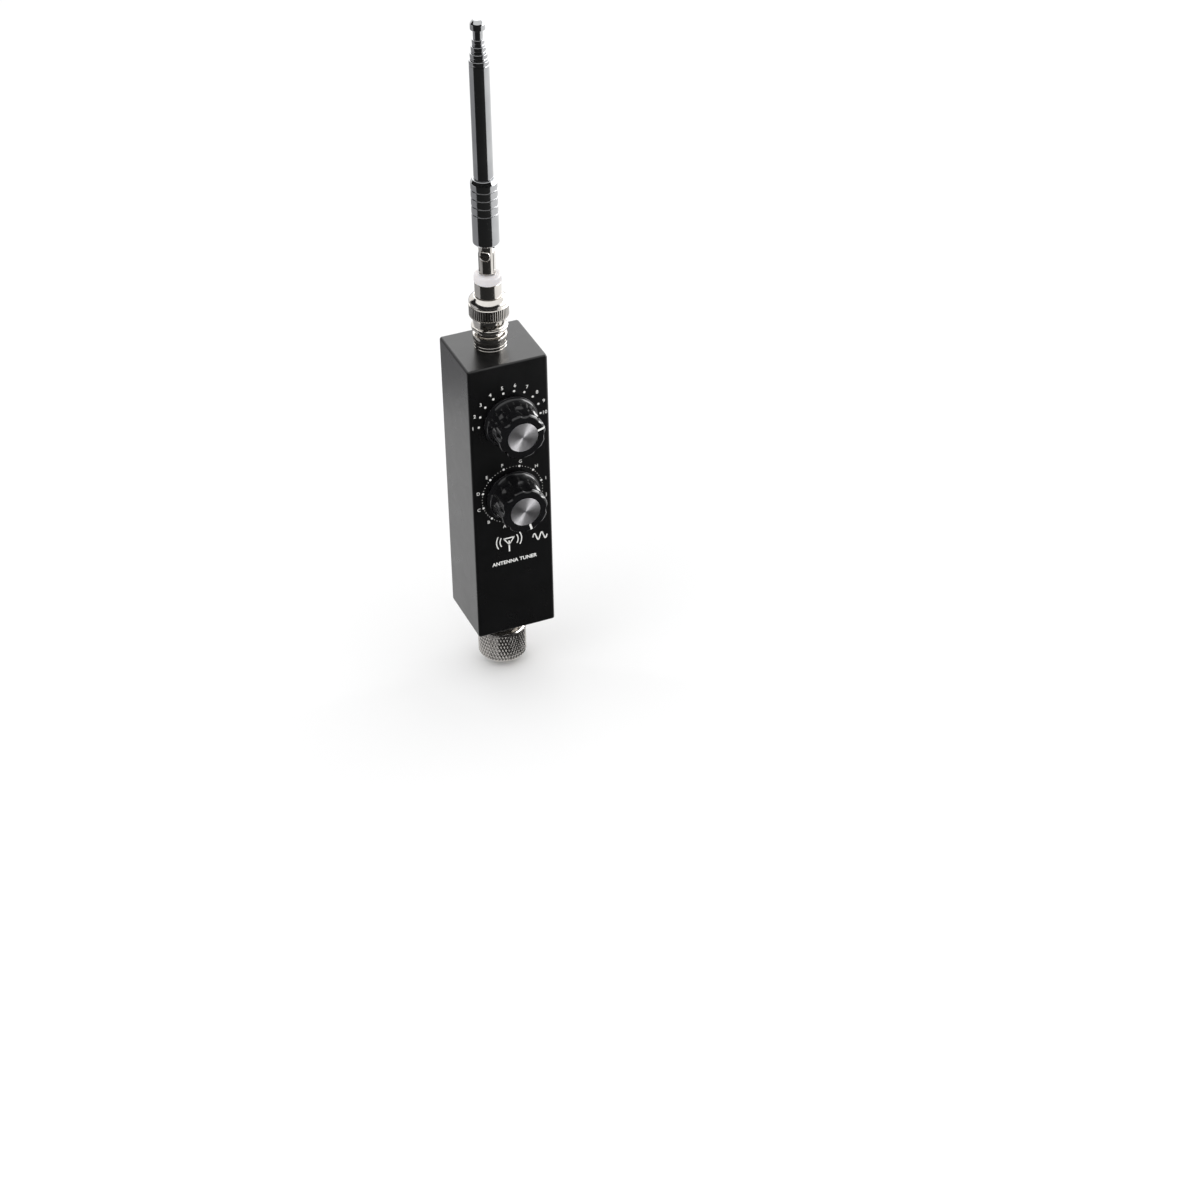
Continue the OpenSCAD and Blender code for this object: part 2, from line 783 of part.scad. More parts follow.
module whip_plug_insulator() {
    color("#f2efe6") translate([0, 0, top_z]) difference() {
        union() {
            rod_z(3.3, 9.4, 18);
            rod_z(2.6, 18 - eps, 22);
        }
        rod_z(2.5, 9, 15.8);
        rod_z(0.66, 15, 23);
    }
}

module whip_plug_pin() {
    color("#d9c27a") translate([0, 0, top_z]) {
        rod_z(0.66, 9.6, 22);
        translate([0, 0, 9]) cylinder(r1 = 0.25, r2 = 0.66, h = 0.6 + eps);
    }
}

module whip_plug_gasket() {
    color("#6b2a22") translate([0, 0, top_z]) pipe_z(5.6, socket_bore_r, barrel_top + run_gap, 17.2);
}

// ---- Elbow ----

module whip_insulator() {
    color("#f4f3ef") translate([0, 0, top_z]) difference() {
        union() {
            rod_z(3.6, 22, body_top + eps);
            rod_z(insulator_r, body_top, insulator_top - 0.5);
            translate([0, 0, insulator_top - 0.5 - eps])
                cylinder(r1 = insulator_r, r2 = insulator_r - 0.5, h = 0.5 + eps);
        }
        rod_z(1.5, 21, 28.5);
        rotate([0, 0, elbow_turn_deg])
            translate([-tongue_half, -tongue_t / 2, 28]) cube([2 * tongue_half, tongue_t, 4]);
    }
}

module elbow_tongue() {
    color("#b9babd") rotate([0, 0, elbow_turn_deg]) difference() {
        union() {
            rod_z(1.5, top_z + 22, top_z + 28 + eps);
            translate([-tongue_half, -tongue_t / 2, top_z + 28])
                cube([2 * tongue_half, tongue_t, pivot_height - 28]);
            translate([0, tongue_t / 2, pivot_z]) rotate([90, 0, 0]) cylinder(r = tongue_half, h = tongue_t);
        }
        translate([0, 5, pivot_z]) rotate([90, 0, 0]) cylinder(r = pivot_r + run_gap, h = 10);
    }
}

module elbow_fork() {
    color("#c9cacc") translate([0, 0, pivot_z]) rotate([0, 0, elbow_turn_deg]) difference() {
        rod_z(fork_r, fork_low, fork_top);
        translate([-4, -fork_slot / 2, fork_low - 1]) cube([8, fork_slot, fork_slot_top - fork_low + 1]);
        difference() {
            translate([-4, -4, fork_low - 1]) cube([4, 8, fork_r + 1]);
            translate([0, 5, fork_low + fork_r]) rotate([90, 0, 0]) cylinder(r = fork_r, h = 10);
        }
        for (s = [0, 180]) rotate([0, 0, s]) translate([-2.2, flat_at, -2.2]) cube([4.4, 2, 4.4]);
        translate([0, 5, 0]) rotate([90, 0, 0]) cylinder(r = pivot_r, h = 10);
    }
}

module elbow_pivot() {
    color("#d0d1d3") translate([0, 0, pivot_z]) rotate([0, 0, elbow_turn_deg]) rotate([90, 0, 0]) {
        rod_z(pivot_r, -flat_at - 0.1, flat_at + 0.1);
        difference() {
            union() {
                rod_z(1.8, flat_at, flat_at + 0.3);
                translate([0, 0, flat_at + 0.3 - eps]) cylinder(r1 = 1.8, r2 = 1.1, h = 0.45);
            }
            translate([-2, -0.22, flat_at + 0.4]) cube([4, 0.44, 1]);
        }
        translate([0, 0, -flat_at - 0.45]) cylinder(r1 = 0.9, r2 = 1.5, h = 0.45);
    }
}

// ---- Telescopic whip ----

module whip_barrel() {
    low = pivot_z + barrel_low;
    high = low + barrel_len;
    color("#c9cacc") difference() {
        union() {
            translate([0, 0, low]) cylinder(r1 = barrel_r - 1, r2 = barrel_r, h = 1);
            rod_z(barrel_r, low + 1 - eps, high);
            translate([0, 0, high - eps]) cylinder(r1 = barrel_r, r2 = tube_r + 0.6, h = barrel_cone);
        }
        rod_z(fork_r, low - 1, pivot_z + fork_top);
        rod_z(tube_r, pivot_z + tube_low, high + 3);
        for (k = [0 : 3]) pipe_z(barrel_r + 1, barrel_r - 0.3, low + 12.4 + 3.1 * k, low + 12.8 + 3.1 * k);
    }
}

// A drawn tube: a rolled-in mouth at its top holds the next one in, and its swelled foot bears on the
// inside of the tube that holds it
module telescopic_tube(k, low, high) {
    r = tube_radius(k);
    next_r = tube_radius(k + 1);
    difference() {
        union() {
            rod_z(r, low, high);
            if (k > 1) rod_z(tube_radius(k - 1) - tube_wall - slide_gap, low, low + foot_len);
        }
        rod_z(r - tube_wall, low - 1, high - mouth_len);
        rod_z(next_r + slide_gap, low - 1, high + 1);
    }
}

function tube_mouth(k) = top_z + tube_top + stick_out * (k - 1);
function tube_foot(k) = pivot_z + tube_low + 2 * (k - 1);

module whip_tube_1() { color("#d2d3d5") telescopic_tube(1, tube_foot(1), tube_mouth(1)); }
module whip_tube_2() { color("#d2d3d5") telescopic_tube(2, tube_foot(2), tube_mouth(2)); }
module whip_tube_3() { color("#d2d3d5") telescopic_tube(3, tube_foot(3), tube_mouth(3)); }
module whip_tube_4() { color("#d2d3d5") telescopic_tube(4, tube_foot(4), tube_mouth(4)); }

module whip_rod() {
    color("#d2d3d5") {
        rod_z(tube_radius(5), tube_foot(5), tube_mouth(5) + 1);
        rod_z(tube_radius(4) - tube_wall - slide_gap, tube_foot(5), tube_foot(5) + foot_len);
    }
}

module whip_tip() {
    low = tube_mouth(5) + 1;
    color("#d2d3d5") {
        rod_z(2.6, low, low + 2.4);
        translate([0, 0, low + 2.4 - eps]) cylinder(r1 = 2.6, r2 = 1.5, h = 1.2);
    }
}

case_tub();
rear_cover();
cover_screws();
circuit_board();
board_standoffs();
board_screws();
tuning_capacitor_housing();
tuning_capacitor_stator();
tuning_capacitor_screws();
tuning_capacitor_rotor();
tuning_shaft();
tuning_knob();
tuning_knob_cap();
tuning_knob_pointer();
tuning_knob_setscrew();
band_switch_housing();
band_switch_wafer();
band_switch_contacts();
band_switch_detent();
band_switch_washer();
band_switch_nut();
band_switch_rotor();
band_switch_wiper();
band_switch_shaft();
band_knob();
band_knob_cap();
band_knob_pointer();
band_knob_setscrew();
coil_core();
coil_winding();
coil_clamp();
hookup_wires();
plug_body();
plug_insulator();
plug_pin();
plug_solder_tag();
plug_nut();
plug_coupling();
socket_shell();
socket_insulator();
socket_contact();
socket_solder_tag();
socket_nut();
bayonet_ring();
whip_plug_body();
whip_plug_insulator();
whip_plug_pin();
whip_plug_gasket();
whip_insulator();
elbow_tongue();
elbow_fork();
elbow_pivot();
whip_barrel();
whip_tube_1();
whip_tube_2();
whip_tube_3();
whip_tube_4();
whip_rod();
whip_tip();
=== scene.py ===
"""Looks of the antenna tuner. Lengths are in millimetres until a mesh is made, and heights marked "above
the case" start at the case's top face. Sizes repeat the CAD's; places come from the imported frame."""
import json
import math

import bmesh
import bpy
from mathutils import Matrix, Quaternion, Vector


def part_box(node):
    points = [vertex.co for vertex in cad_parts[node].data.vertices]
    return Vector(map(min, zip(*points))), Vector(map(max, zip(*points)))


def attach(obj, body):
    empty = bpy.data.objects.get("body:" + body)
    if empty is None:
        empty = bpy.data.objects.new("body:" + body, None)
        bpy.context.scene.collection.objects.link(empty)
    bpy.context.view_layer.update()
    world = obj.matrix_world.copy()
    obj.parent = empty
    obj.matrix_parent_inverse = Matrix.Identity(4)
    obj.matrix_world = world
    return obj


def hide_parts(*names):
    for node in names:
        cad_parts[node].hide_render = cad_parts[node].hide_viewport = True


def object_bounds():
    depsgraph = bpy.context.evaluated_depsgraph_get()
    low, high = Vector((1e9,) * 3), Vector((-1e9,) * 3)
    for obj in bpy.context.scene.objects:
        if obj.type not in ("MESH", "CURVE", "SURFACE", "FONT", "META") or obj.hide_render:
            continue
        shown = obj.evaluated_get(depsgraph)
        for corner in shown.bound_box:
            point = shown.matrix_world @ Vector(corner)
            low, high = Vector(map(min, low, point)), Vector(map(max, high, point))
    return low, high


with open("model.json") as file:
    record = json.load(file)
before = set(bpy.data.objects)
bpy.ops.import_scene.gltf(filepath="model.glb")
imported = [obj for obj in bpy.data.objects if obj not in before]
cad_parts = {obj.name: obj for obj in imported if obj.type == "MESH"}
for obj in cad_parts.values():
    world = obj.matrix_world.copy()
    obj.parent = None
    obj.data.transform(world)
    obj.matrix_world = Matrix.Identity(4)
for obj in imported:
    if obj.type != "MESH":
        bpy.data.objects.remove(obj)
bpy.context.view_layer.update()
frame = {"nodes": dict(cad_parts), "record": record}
MM = 0.001
TURN = 2 * math.pi
SCENE = bpy.context.scene


def box_mm(node):
    low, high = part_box(node)
    return low / MM, high / MM


def middle(node):
    low, high = box_mm(node)
    return (low + high) / 2


def heights(node):
    low, high = box_mm(node)
    return low.z - PIVOT, high.z - PIVOT


CASE_LOW, CASE_HIGH = box_mm("case_tub")
TOP = CASE_HIGH.z
FRONT = CASE_LOW.y
TUNE = middle("tuning_knob_cap")
BAND = middle("band_knob_cap")

# ---- Mesh helpers ----


def rounded(points, radius, closed=False, steps=4):
    """A profile with its corners eased. A point may carry its own radius as a third number."""
    made = []
    count = len(points)
    for i, point in enumerate(points):
        here = Vector(point[:2])
        ease = point[2] if len(point) > 2 else radius
        if ease == 0 or (not closed and i in (0, count - 1)):
            made.append(tuple(here))
            continue
        before = Vector(points[i - 1][:2]) - here
        after = Vector(points[(i + 1) % count][:2]) - here
        reach = min(ease, before.length * 0.45, after.length * 0.45)
        a = here + before.normalized() * reach
        b = here + after.normalized() * reach
        for k in range(steps + 1):
            t = k / steps
            made.append(tuple(a * (1 - t) ** 2 + here * 2 * t * (1 - t) + b * t * t))
    return made


def spread(low, high, count):
    """Points along a straight stretch of a profile, both ends included."""
    return [
        (low[0] + (high[0] - low[0]) * k / count, low[1] + (high[1] - low[1]) * k / count)
        for k in range(count + 1)
    ]


def lathe(profile, segments=96, closed=True, shape=None):
    """A profile of (radius, height) turned about +Z. shape(angle, radius, height) may move a point."""
    bm = bmesh.new()
    rings = []
    for radius, height in profile:
        if radius < 1e-6:
            rings.append([bm.verts.new((0, 0, height))])
            continue
        ring = []
        for k in range(segments):
            angle = TURN * k / segments
            r = shape(angle, radius, height) if shape else radius
            ring.append(bm.verts.new((r * math.cos(angle), r * math.sin(angle), height)))
        rings.append(ring)
    pairs = list(zip(rings, rings[1:]))
    if closed:
        pairs.append((rings[-1], rings[0]))
    for a, b in pairs:
        for k in range(segments):
            n = (k + 1) % segments
            if len(a) == 1:
                bm.faces.new((a[0], b[n], b[k]))
            elif len(b) == 1:
                bm.faces.new((a[k], a[n], b[0]))
            else:
                bm.faces.new((a[k], a[n], b[n], b[k]))
    bmesh.ops.recalc_face_normals(bm, faces=bm.faces)
    return bm


def block(low, high, ease=0.0, steps=3):
    """A box between two corners with all its edges eased."""
    bm = bmesh.new()
    bmesh.ops.create_cube(bm, size=1)
    low, high = Vector(low), Vector(high)
    for v in bm.verts:
        v.co = Vector(low[i] + (v.co[i] + 0.5) * (high[i] - low[i]) for i in range(3))
    if ease:
        bmesh.ops.bevel(bm, geom=bm.edges, offset=ease, segments=steps, profile=0.5, affect="EDGES")
    return bm


def rod(radius, low, high, segments=64):
    return lathe([(0, low), (radius, low), (radius, high), (0, high)], segments, closed=False)


def plate(outline, low, high):
    """A flat outline in the panel's plane given a thickness."""
    bm = bmesh.new()
    bottom = [bm.verts.new((x, y, low)) for x, y in outline]
    top = [bm.verts.new((x, y, high)) for x, y in outline]
    bm.faces.new(list(reversed(bottom)))
    bm.faces.new(top)
    for k in range(len(outline)):
        n = (k + 1) % len(outline)
        bm.faces.new((bottom[k], bottom[n], top[n], top[k]))
    return bm


def moved(bm, matrix):
    bmesh.ops.transform(bm, matrix=matrix, verts=bm.verts)
    return bm


def lifted(bm, height):
    return moved(bm, Matrix.Translation((0, 0, height)))


def spun_about(axis, degrees):
    return Matrix.Rotation(math.radians(degrees), 4, axis)


def on_panel(centre, turn=0.0):
    """From a drawing of the front panel, +Z out of it, to the tuner's frame."""
    face = Matrix(((1, 0, 0, centre.x), (0, 0, -1, FRONT), (0, 1, 0, centre.z), (0, 0, 0, 1)))
    return face @ Matrix.Rotation(turn, 4, "Z")


def joined(*parts):
    whole = bmesh.new()
    for part in parts:
        mesh = bpy.data.meshes.new("part")
        part.to_mesh(mesh)
        whole.from_mesh(mesh)
        part.free()
        bpy.data.meshes.remove(mesh)
    return whole


def as_object(name, bm):
    moved(bm, Matrix.Scale(MM, 4))
    mesh = bpy.data.meshes.new(name)
    bm.to_mesh(mesh)
    bm.free()
    obj = bpy.data.objects.new(name, mesh)
    SCENE.collection.objects.link(obj)
    return obj


def baked(obj):
    """Applies the object's modifiers."""
    bpy.context.view_layer.update()
    graph = bpy.context.evaluated_depsgraph_get()
    mesh = bpy.data.meshes.new_from_object(obj.evaluated_get(graph))
    obj.modifiers.clear()
    obj.data = mesh


def combined(operation, bm, others):
    """The solid after a boolean operation with each of the others in turn."""
    body = as_object("body", bm)
    tools = [as_object("tool", other) for other in others]
    for tool in tools:
        step = body.modifiers.new("step", "BOOLEAN")
        step.operation, step.solver, step.object = operation, "EXACT", tool
    baked(body)
    for tool in tools:
        bpy.data.objects.remove(tool)
    result = bmesh.new()
    result.from_mesh(body.data)
    bpy.data.objects.remove(body)
    bmesh.ops.remove_doubles(result, verts=result.verts, dist=1e-8)
    return moved(result, Matrix.Scale(1 / MM, 4))


def cut(bm, *cutters):
    return combined("DIFFERENCE", bm, cutters)


def fused(bm, *others):
    return combined("UNION", bm, others)


MATERIALS = {}


def piece(name, bm, body, slot, replaces=(), crease=35, ease=0.0, look=None):
    """Makes a visible piece that rides on a body."""
    obj = as_object(name, bm)
    obj.data.materials.clear()
    obj.data.materials.append(MATERIALS[look or slot])
    if ease:
        edge = obj.modifiers.new("edge", "BEVEL")
        edge.width, edge.segments, edge.limit_method = ease * MM, 2, "ANGLE"
        edge.angle_limit = math.radians(crease)
        edge.miter_outer = "MITER_ARC"
        baked(obj)
    obj.data.shade_smooth()
    obj.data.set_sharp_from_angle(angle=math.radians(crease + 10 if ease else crease))
    if ease:
        obj.modifiers.new("normals", "WEIGHTED_NORMAL").keep_sharp = True
    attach(obj, body)
    if replaces:
        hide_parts(*replaces)
    return obj


# ---- Materials ----


class Look:
    """A Principled material whose colour, roughness and relief come from textures in the piece's own frame."""

    def __init__(self, name, metallic=0.0, **values):
        self.material = bpy.data.materials.new(name)
        self.material.use_nodes = True
        self.nodes = self.material.node_tree.nodes
        self.links = self.material.node_tree.links
        self.shader = self.nodes["Principled BSDF"]
        self.shader.inputs["Metallic"].default_value = metallic
        for socket, value in values.items():
            self.shader.inputs[socket.replace("_", " ")].default_value = value
        self.place = self.nodes.new("ShaderNodeTexCoord").outputs["Object"]
        self.relief = None
        MATERIALS[name] = self.material

    def noise(self, per_mm, detail=3.0, stretch=(1, 1, 1), distortion=0.0):
        """Noise with the given number of features to a millimetre."""
        place = self.nodes.new("ShaderNodeMapping")
        place.inputs["Scale"].default_value = [s * per_mm / MM for s in stretch]
        self.links.new(self.place, place.inputs["Vector"])
        made = self.nodes.new("ShaderNodeTexNoise")
        made.inputs["Scale"].default_value = 1.0
        made.inputs["Detail"].default_value = detail
        made.inputs["Distortion"].default_value = distortion
        self.links.new(place.outputs["Vector"], made.inputs["Vector"])
        return made.outputs["Fac"]

    def ranged(self, value, low, high, to_low, to_high):
        made = self.nodes.new("ShaderNodeMapRange")
        for name, v in zip(("From Min", "From Max", "To Min", "To Max"), (low, high, to_low, to_high)):
            made.inputs[name].default_value = v
        self.links.new(value, made.inputs["Value"])
        return made.outputs["Result"]

    def colour(self, value, *stops):
        """Colours along a value, each stop being (position, (r, g, b))."""
        ramp = self.nodes.new("ShaderNodeValToRGB")
        marks = ramp.color_ramp.elements
        while len(marks) < len(stops):
            marks.new(0.5)
        for mark, (position, rgb) in zip(marks, stops):
            mark.position, mark.color = position, (*rgb, 1)
        self.links.new(value, ramp.inputs["Fac"])
        self.links.new(ramp.outputs["Color"], self.shader.inputs["Base Color"])
        return self

    def rough(self, value, low, high, spread_low=0.3, spread_high=0.7):
        result = self.ranged(value, spread_low, spread_high, low, high)
        self.links.new(result, self.shader.inputs["Roughness"])
        return self

    def vector(self, operation, first, second=None):
        node = self.nodes.new("ShaderNodeVectorMath")
        node.operation = operation
        self.links.new(first, node.inputs[0])
        if second:
            node.inputs[1].default_value = second
        return node

    def groove_shade_and_dirt(self, deep, proud, low, high, dark):
        """Painted shade and dirt in a knurl: what lies nearer the axis than the crests, between two heights, is
        painted darker.
        """
        across = self.vector("LENGTH", self.vector("MULTIPLY", self.place, (1, 1, 0)).outputs["Vector"])
        along = self.vector("DOT_PRODUCT", self.place, (0, 0, 1))
        band = self.nodes.new("ShaderNodeMath")
        band.operation = "COMPARE"
        self.links.new(along.outputs["Value"], band.inputs[0])
        band.inputs[1].default_value = (low + high) / 2 * MM
        band.inputs[2].default_value = (high - low) / 2 * MM
        depth = self.ranged(across.outputs["Value"], deep * MM, proud * MM, 1.0 - dark, 0.0)
        share = self.nodes.new("ShaderNodeMath")
        share.operation = "MULTIPLY"
        self.links.new(depth, share.inputs[0])
        self.links.new(band.outputs["Value"], share.inputs[1])
        kept = self.ranged(share.outputs["Value"], 0.0, 1.0, 1.0, 0.0)
        # Painted shade and dirt: the base colour is scaled down in the grooves
        shade_and_dirt_colour = self.vector("SCALE", self.shader.inputs["Base Color"].links[0].from_socket)
        self.links.new(kept, shade_and_dirt_colour.inputs["Scale"])
        self.links.new(shade_and_dirt_colour.outputs["Vector"], self.shader.inputs["Base Color"])
        return self

    def bump(self, value, depth_mm, strength=1.0):
        node = self.nodes.new("ShaderNodeBump")
        node.inputs["Strength"].default_value = strength
        node.inputs["Distance"].default_value = depth_mm * MM
        self.links.new(value, node.inputs["Height"])
        if self.relief:
            self.links.new(self.relief, node.inputs["Normal"])
        self.relief = node.outputs["Normal"]
        self.links.new(self.relief, self.shader.inputs["Normal"])
        return self


def plastic(name, dark, light, rough, grain_depth, per_mm=3.0, **values):
    """Moulded plastic: a fine grain, handling smears in the gloss and a slight drift in colour."""
    look = Look(name, **values)
    look.colour(look.noise(0.08, 4), (0.3, dark), (0.7, light))
    look.rough(look.noise(0.12, 5, distortion=1.5), *rough)
    look.bump(look.noise(per_mm, 2), grain_depth)
    return look


def metal(name, dark, light, rough, lines=(1, 1, 14), line_depth=0.0006, blotch=0.15, **values):
    """Turned and plated metal: lathe lines round the axis, a cloudy tarnish and finger marks in the gloss."""
    look = Look(name, metallic=1.0, **values)
    look.colour(look.noise(blotch, 4), (0.25, dark), (0.75, light))
    look.rough(look.noise(0.35, 5, distortion=1.0), *rough)
    look.bump(look.noise(0.5, 2, stretch=lines), line_depth)
    look.bump(look.noise(0.25, 1), 0.004)
    return look


plastic("case_black", (0.0035, 0.0035, 0.0037), (0.0048, 0.0048, 0.0052), (0.27, 0.31), 0.004)
plastic("cover_black", (0.008, 0.0082, 0.0088), (0.013, 0.0132, 0.014), (0.34, 0.44), 0.010, 2.0)
plastic("knob_black", (0.0045, 0.0045, 0.005), (0.007, 0.007, 0.0078), (0.07, 0.16), 0.0015, 1.5)
plastic("white_inlay", (0.72, 0.72, 0.70), (0.84, 0.84, 0.82), (0.42, 0.55), 0.003, 6.0)
plastic("white_insulator", (0.62, 0.60, 0.61), (0.70, 0.68, 0.69), (0.30, 0.42), 0.003, 1.2,
        Subsurface_Weight=0.5, Subsurface_Radius=(0.004, 0.0035, 0.003), Subsurface_Scale=0.35)
plastic("cream_plastic", (0.62, 0.58, 0.47), (0.72, 0.68, 0.57), (0.40, 0.52), 0.004)
plastic("brown_laminate", (0.16, 0.075, 0.03), (0.24, 0.12, 0.055), (0.45, 0.6), 0.006, 1.0)
plastic("core_red", (0.36, 0.035, 0.022), (0.48, 0.055, 0.035), (0.38, 0.5), 0.008, 1.5)
plastic("gasket_red", (0.13, 0.03, 0.022), (0.19, 0.045, 0.033), (0.5, 0.65), 0.004)
plastic("wire_cover", (0.30, 0.028, 0.022), (0.42, 0.045, 0.035), (0.32, 0.45), 0.003)
metal("nickel", (0.60, 0.57, 0.53), (0.74, 0.715, 0.68), (0.07, 0.17))
# These two looks paint shade and dirt into the knurls' grooves: nearer the axis than the crests the colour is
# darker
metal("coupling_nickel_shade_and_dirt", (0.60, 0.57, 0.54), (0.74, 0.715, 0.69), (0.09, 0.18)).groove_shade_and_dirt(
    8.93, 9.18, 0.7, 11.8, 0.25)
metal("ring_nickel_shade_and_dirt", (0.60, 0.57, 0.53), (0.74, 0.715, 0.68), (0.07, 0.17)).groove_shade_and_dirt(
    6.92, 7.18, TOP + 13.6, TOP + 18.1, 0.5)
metal("chrome", (0.39, 0.395, 0.405), (0.47, 0.475, 0.48), (0.05, 0.11))
metal("steel", (0.42, 0.42, 0.43), (0.56, 0.56, 0.57), (0.2, 0.34))
metal("black_steel", (0.03, 0.03, 0.032), (0.055, 0.055, 0.06), (0.3, 0.45), (1, 1, 1), 0.002)
metal("brass", (0.60, 0.43, 0.17), (0.76, 0.58, 0.27), (0.16, 0.3))
metal("copper_enamel", (0.42, 0.14, 0.05), (0.58, 0.22, 0.085), (0.14, 0.24), (1, 1, 1), 0.001,
      Coat_Weight=0.8, Coat_Roughness=0.1)

# Spun aluminium: the turning marks run round the cap, so its highlight opens into a bow tie
spun = Look("spun_aluminium", metallic=1.0, Anisotropic=0.84, Anisotropic_Rotation=0.25)
spun.colour(spun.noise(0.4, 3), (0.3, (0.72, 0.71, 0.73)), (0.7, (0.82, 0.81, 0.83)))
spun.rough(spun.noise(1.0, 3), 0.53, 0.59)
tangent = spun.nodes.new("ShaderNodeTangent")
tangent.direction_type, tangent.axis = "RADIAL", "Y"
spun.links.new(tangent.outputs["Tangent"], spun.shader.inputs["Tangent"])

# Board: solder resist over copper tracks that show as a faint raised weave
board = Look("board_green", Coat_Weight=0.4, Coat_Roughness=0.2)
tracks = board.nodes.new("ShaderNodeTexBrick")
tracks.inputs["Scale"].default_value = 0.35 / MM
tracks.inputs["Mortar Size"].default_value = 0.03
board.links.new(board.place, tracks.inputs["Vector"])
board.colour(tracks.outputs["Fac"], (0.0, (0.012, 0.09, 0.035)), (1.0, (0.03, 0.19, 0.075)))
board.rough(board.noise(0.3), 0.28, 0.42)
board.bump(tracks.outputs["Fac"], 0.02)

for part in frame["record"]["subparts"]:
    for holder in frame["nodes"][part["node"]].material_slots:
        holder.material = MATERIALS[part["material_slot"]]

# ---- Case ----

WALL = 1.5
BOSS = 4.6
SCREW_HOLE_R = 1.25
SCREW_HEAD_R = 2.2
CASE_MID = (CASE_LOW + CASE_HIGH) / 2


def countersink():
    """A hole for a countersunk screw whose head is flush with z = 0."""
    mouth_r = SCREW_HEAD_R + 0.15
    hole = [(0, -12), (SCREW_HOLE_R, -12), (SCREW_HOLE_R, -1.2), (mouth_r, 0.06), (mouth_r, 1), (0, 1)]
    return lathe(hole, 48, closed=False)


def at_cover_screws(make):
    low, high = box_mm("cover_screws")
    face = spun_about("X", -90)
    return [
        moved(make(), Matrix.Translation((x, CASE_HIGH.y, z)) @ face)
        for x in (low.x + SCREW_HEAD_R, high.x - SCREW_HEAD_R)
        for z in (low.z + SCREW_HEAD_R, high.z - SCREW_HEAD_R)
    ]


def case_shell():
    inner_low = CASE_LOW + Vector((WALL, WALL, WALL))
    inner_high = CASE_HIGH + Vector((-WALL, 1, -WALL))
    bosses = []
    for x in (inner_low.x - 1, inner_high.x - BOSS):
        for z in (inner_low.z - 1, inner_high.z - BOSS):
            bosses.append(block((x, inner_low.y - 1, z), (x + BOSS + 1, CASE_HIGH.y - WALL, z + BOSS + 1)))
    hollow = cut(block(inner_low, inner_high), *bosses)
    holes = [
        moved(rod(4.15, -WALL - 1, 1), on_panel(TUNE)),
        moved(rod(4.55, -WALL - 1, 1), on_panel(BAND)),
        rod(6.0, CASE_LOW.z - 1, CASE_LOW.z + WALL + 1),
        rod(4.75, TOP - WALL - 1, TOP + 1),
    ]
    sinks = [moved(countersink(), on_panel(TUNE) @ Matrix.Translation((x, 0, 0))) for x in (-7.1, 7.1)]
    return cut(block(CASE_LOW, CASE_HIGH, 0.95, 5), hollow, *holes, *sinks, *at_cover_screws(countersink))


def flat_shaded(obj):
    """Keeps big flat faces flat in the shading beside their eased edges."""
    obj.modifiers.new("normals", "WEIGHTED_NORMAL").keep_sharp = True
    return obj


flat_shaded(piece("case_shell", case_shell(), "case", "case_black", ["case_tub"]))
flat_shaded(piece(
    "case_back", cut(block(*box_mm("rear_cover"), 0.3, 2), *at_cover_screws(countersink)),
    "case", "cover_black", ["rear_cover"],
))

# ---- Front panel's print ----

INK_LOW, INK_HIGH = -0.01, 0.02
DOT_R, TICK_R = 0.45, 0.14
TUNE_DOTS_AT, TUNE_NUMBERS_AT = 11.96, 14.2
BAND_DOTS_AT, BAND_LETTERS_AT = 11.88, 13.75


def disc(x, y, radius, sides=20):
    turns = (TURN * k / sides for k in range(sides))
    return plate([(x + radius * math.cos(a), y + radius * math.sin(a)) for a in turns], INK_LOW, INK_HIGH)


def stroke(points, width):
    """A printed line along a list of points."""
    sides = []
    for i, point in enumerate(points):
        along = Vector(points[min(i + 1, len(points) - 1)]) - Vector(points[max(i - 1, 0)])
        across = Vector((-along.y, along.x)).normalized() * width / 2
        sides.append((Vector(point) + across, Vector(point) - across))
    outline = [tuple(s[0]) for s in sides] + [tuple(s[1]) for s in reversed(sides)]
    return plate(list(reversed(outline)), INK_LOW, INK_HIGH)


def words(text, x, y, height, bold=0.0):
    """Generic lettering in Blender's own plain face, its middle at (x, y)."""
    curve = bpy.data.curves.new("words", "FONT")
    curve.body, curve.align_x, curve.align_y = text, "CENTER", "CENTER"
    curve.size = height * 1.38
    curve.offset = bold
    curve.extrude = (INK_HIGH - INK_LOW) / 2
    curve.resolution_u = 3
    obj = bpy.data.objects.new("words", curve)
    SCENE.collection.objects.link(obj)
    bpy.context.view_layer.update()
    mesh = bpy.data.meshes.new_from_object(obj.evaluated_get(bpy.context.evaluated_depsgraph_get()))
    bm = bmesh.new()
    bm.from_mesh(mesh)
    bmesh.ops.remove_doubles(bm, verts=bm.verts, dist=1e-5)
    bpy.data.objects.remove(obj)
    bpy.data.curves.remove(curve)
    bpy.data.meshes.remove(mesh)
    return moved(bm, Matrix.Translation((x, y, (INK_LOW + INK_HIGH) / 2)))


def on_dial(degrees, radius):
    """A place on a dial, the angle being clockwise from up."""
    a = math.radians(degrees)
    return radius * math.sin(a), radius * math.cos(a)


def tune_scale():
    marks = []
    for k in range(10):
        angle = -90 + 20 * k
        marks.append(disc(*on_dial(angle, TUNE_DOTS_AT), DOT_R))
        x, y = on_dial(angle, TUNE_NUMBERS_AT)
        marks.append(words(str(k + 1), min(x, 13.6), y, 1.45, 0.02))
    return joined(*marks)


def band_scale():
    marks = []
    for k in range(12):
        angle = -165 + 30 * k
        marks.append(disc(*on_dial(angle, BAND_DOTS_AT), DOT_R))
        marks.append(words("ABCDEFGHIJKL"[k], *on_dial(angle, BAND_LETTERS_AT), 1.35, 0.01))
        for step in range(1, 5):
            if k < 11:
                marks.append(disc(*on_dial(angle + 6 * step, BAND_DOTS_AT), TICK_R, 8))
    return joined(*marks)


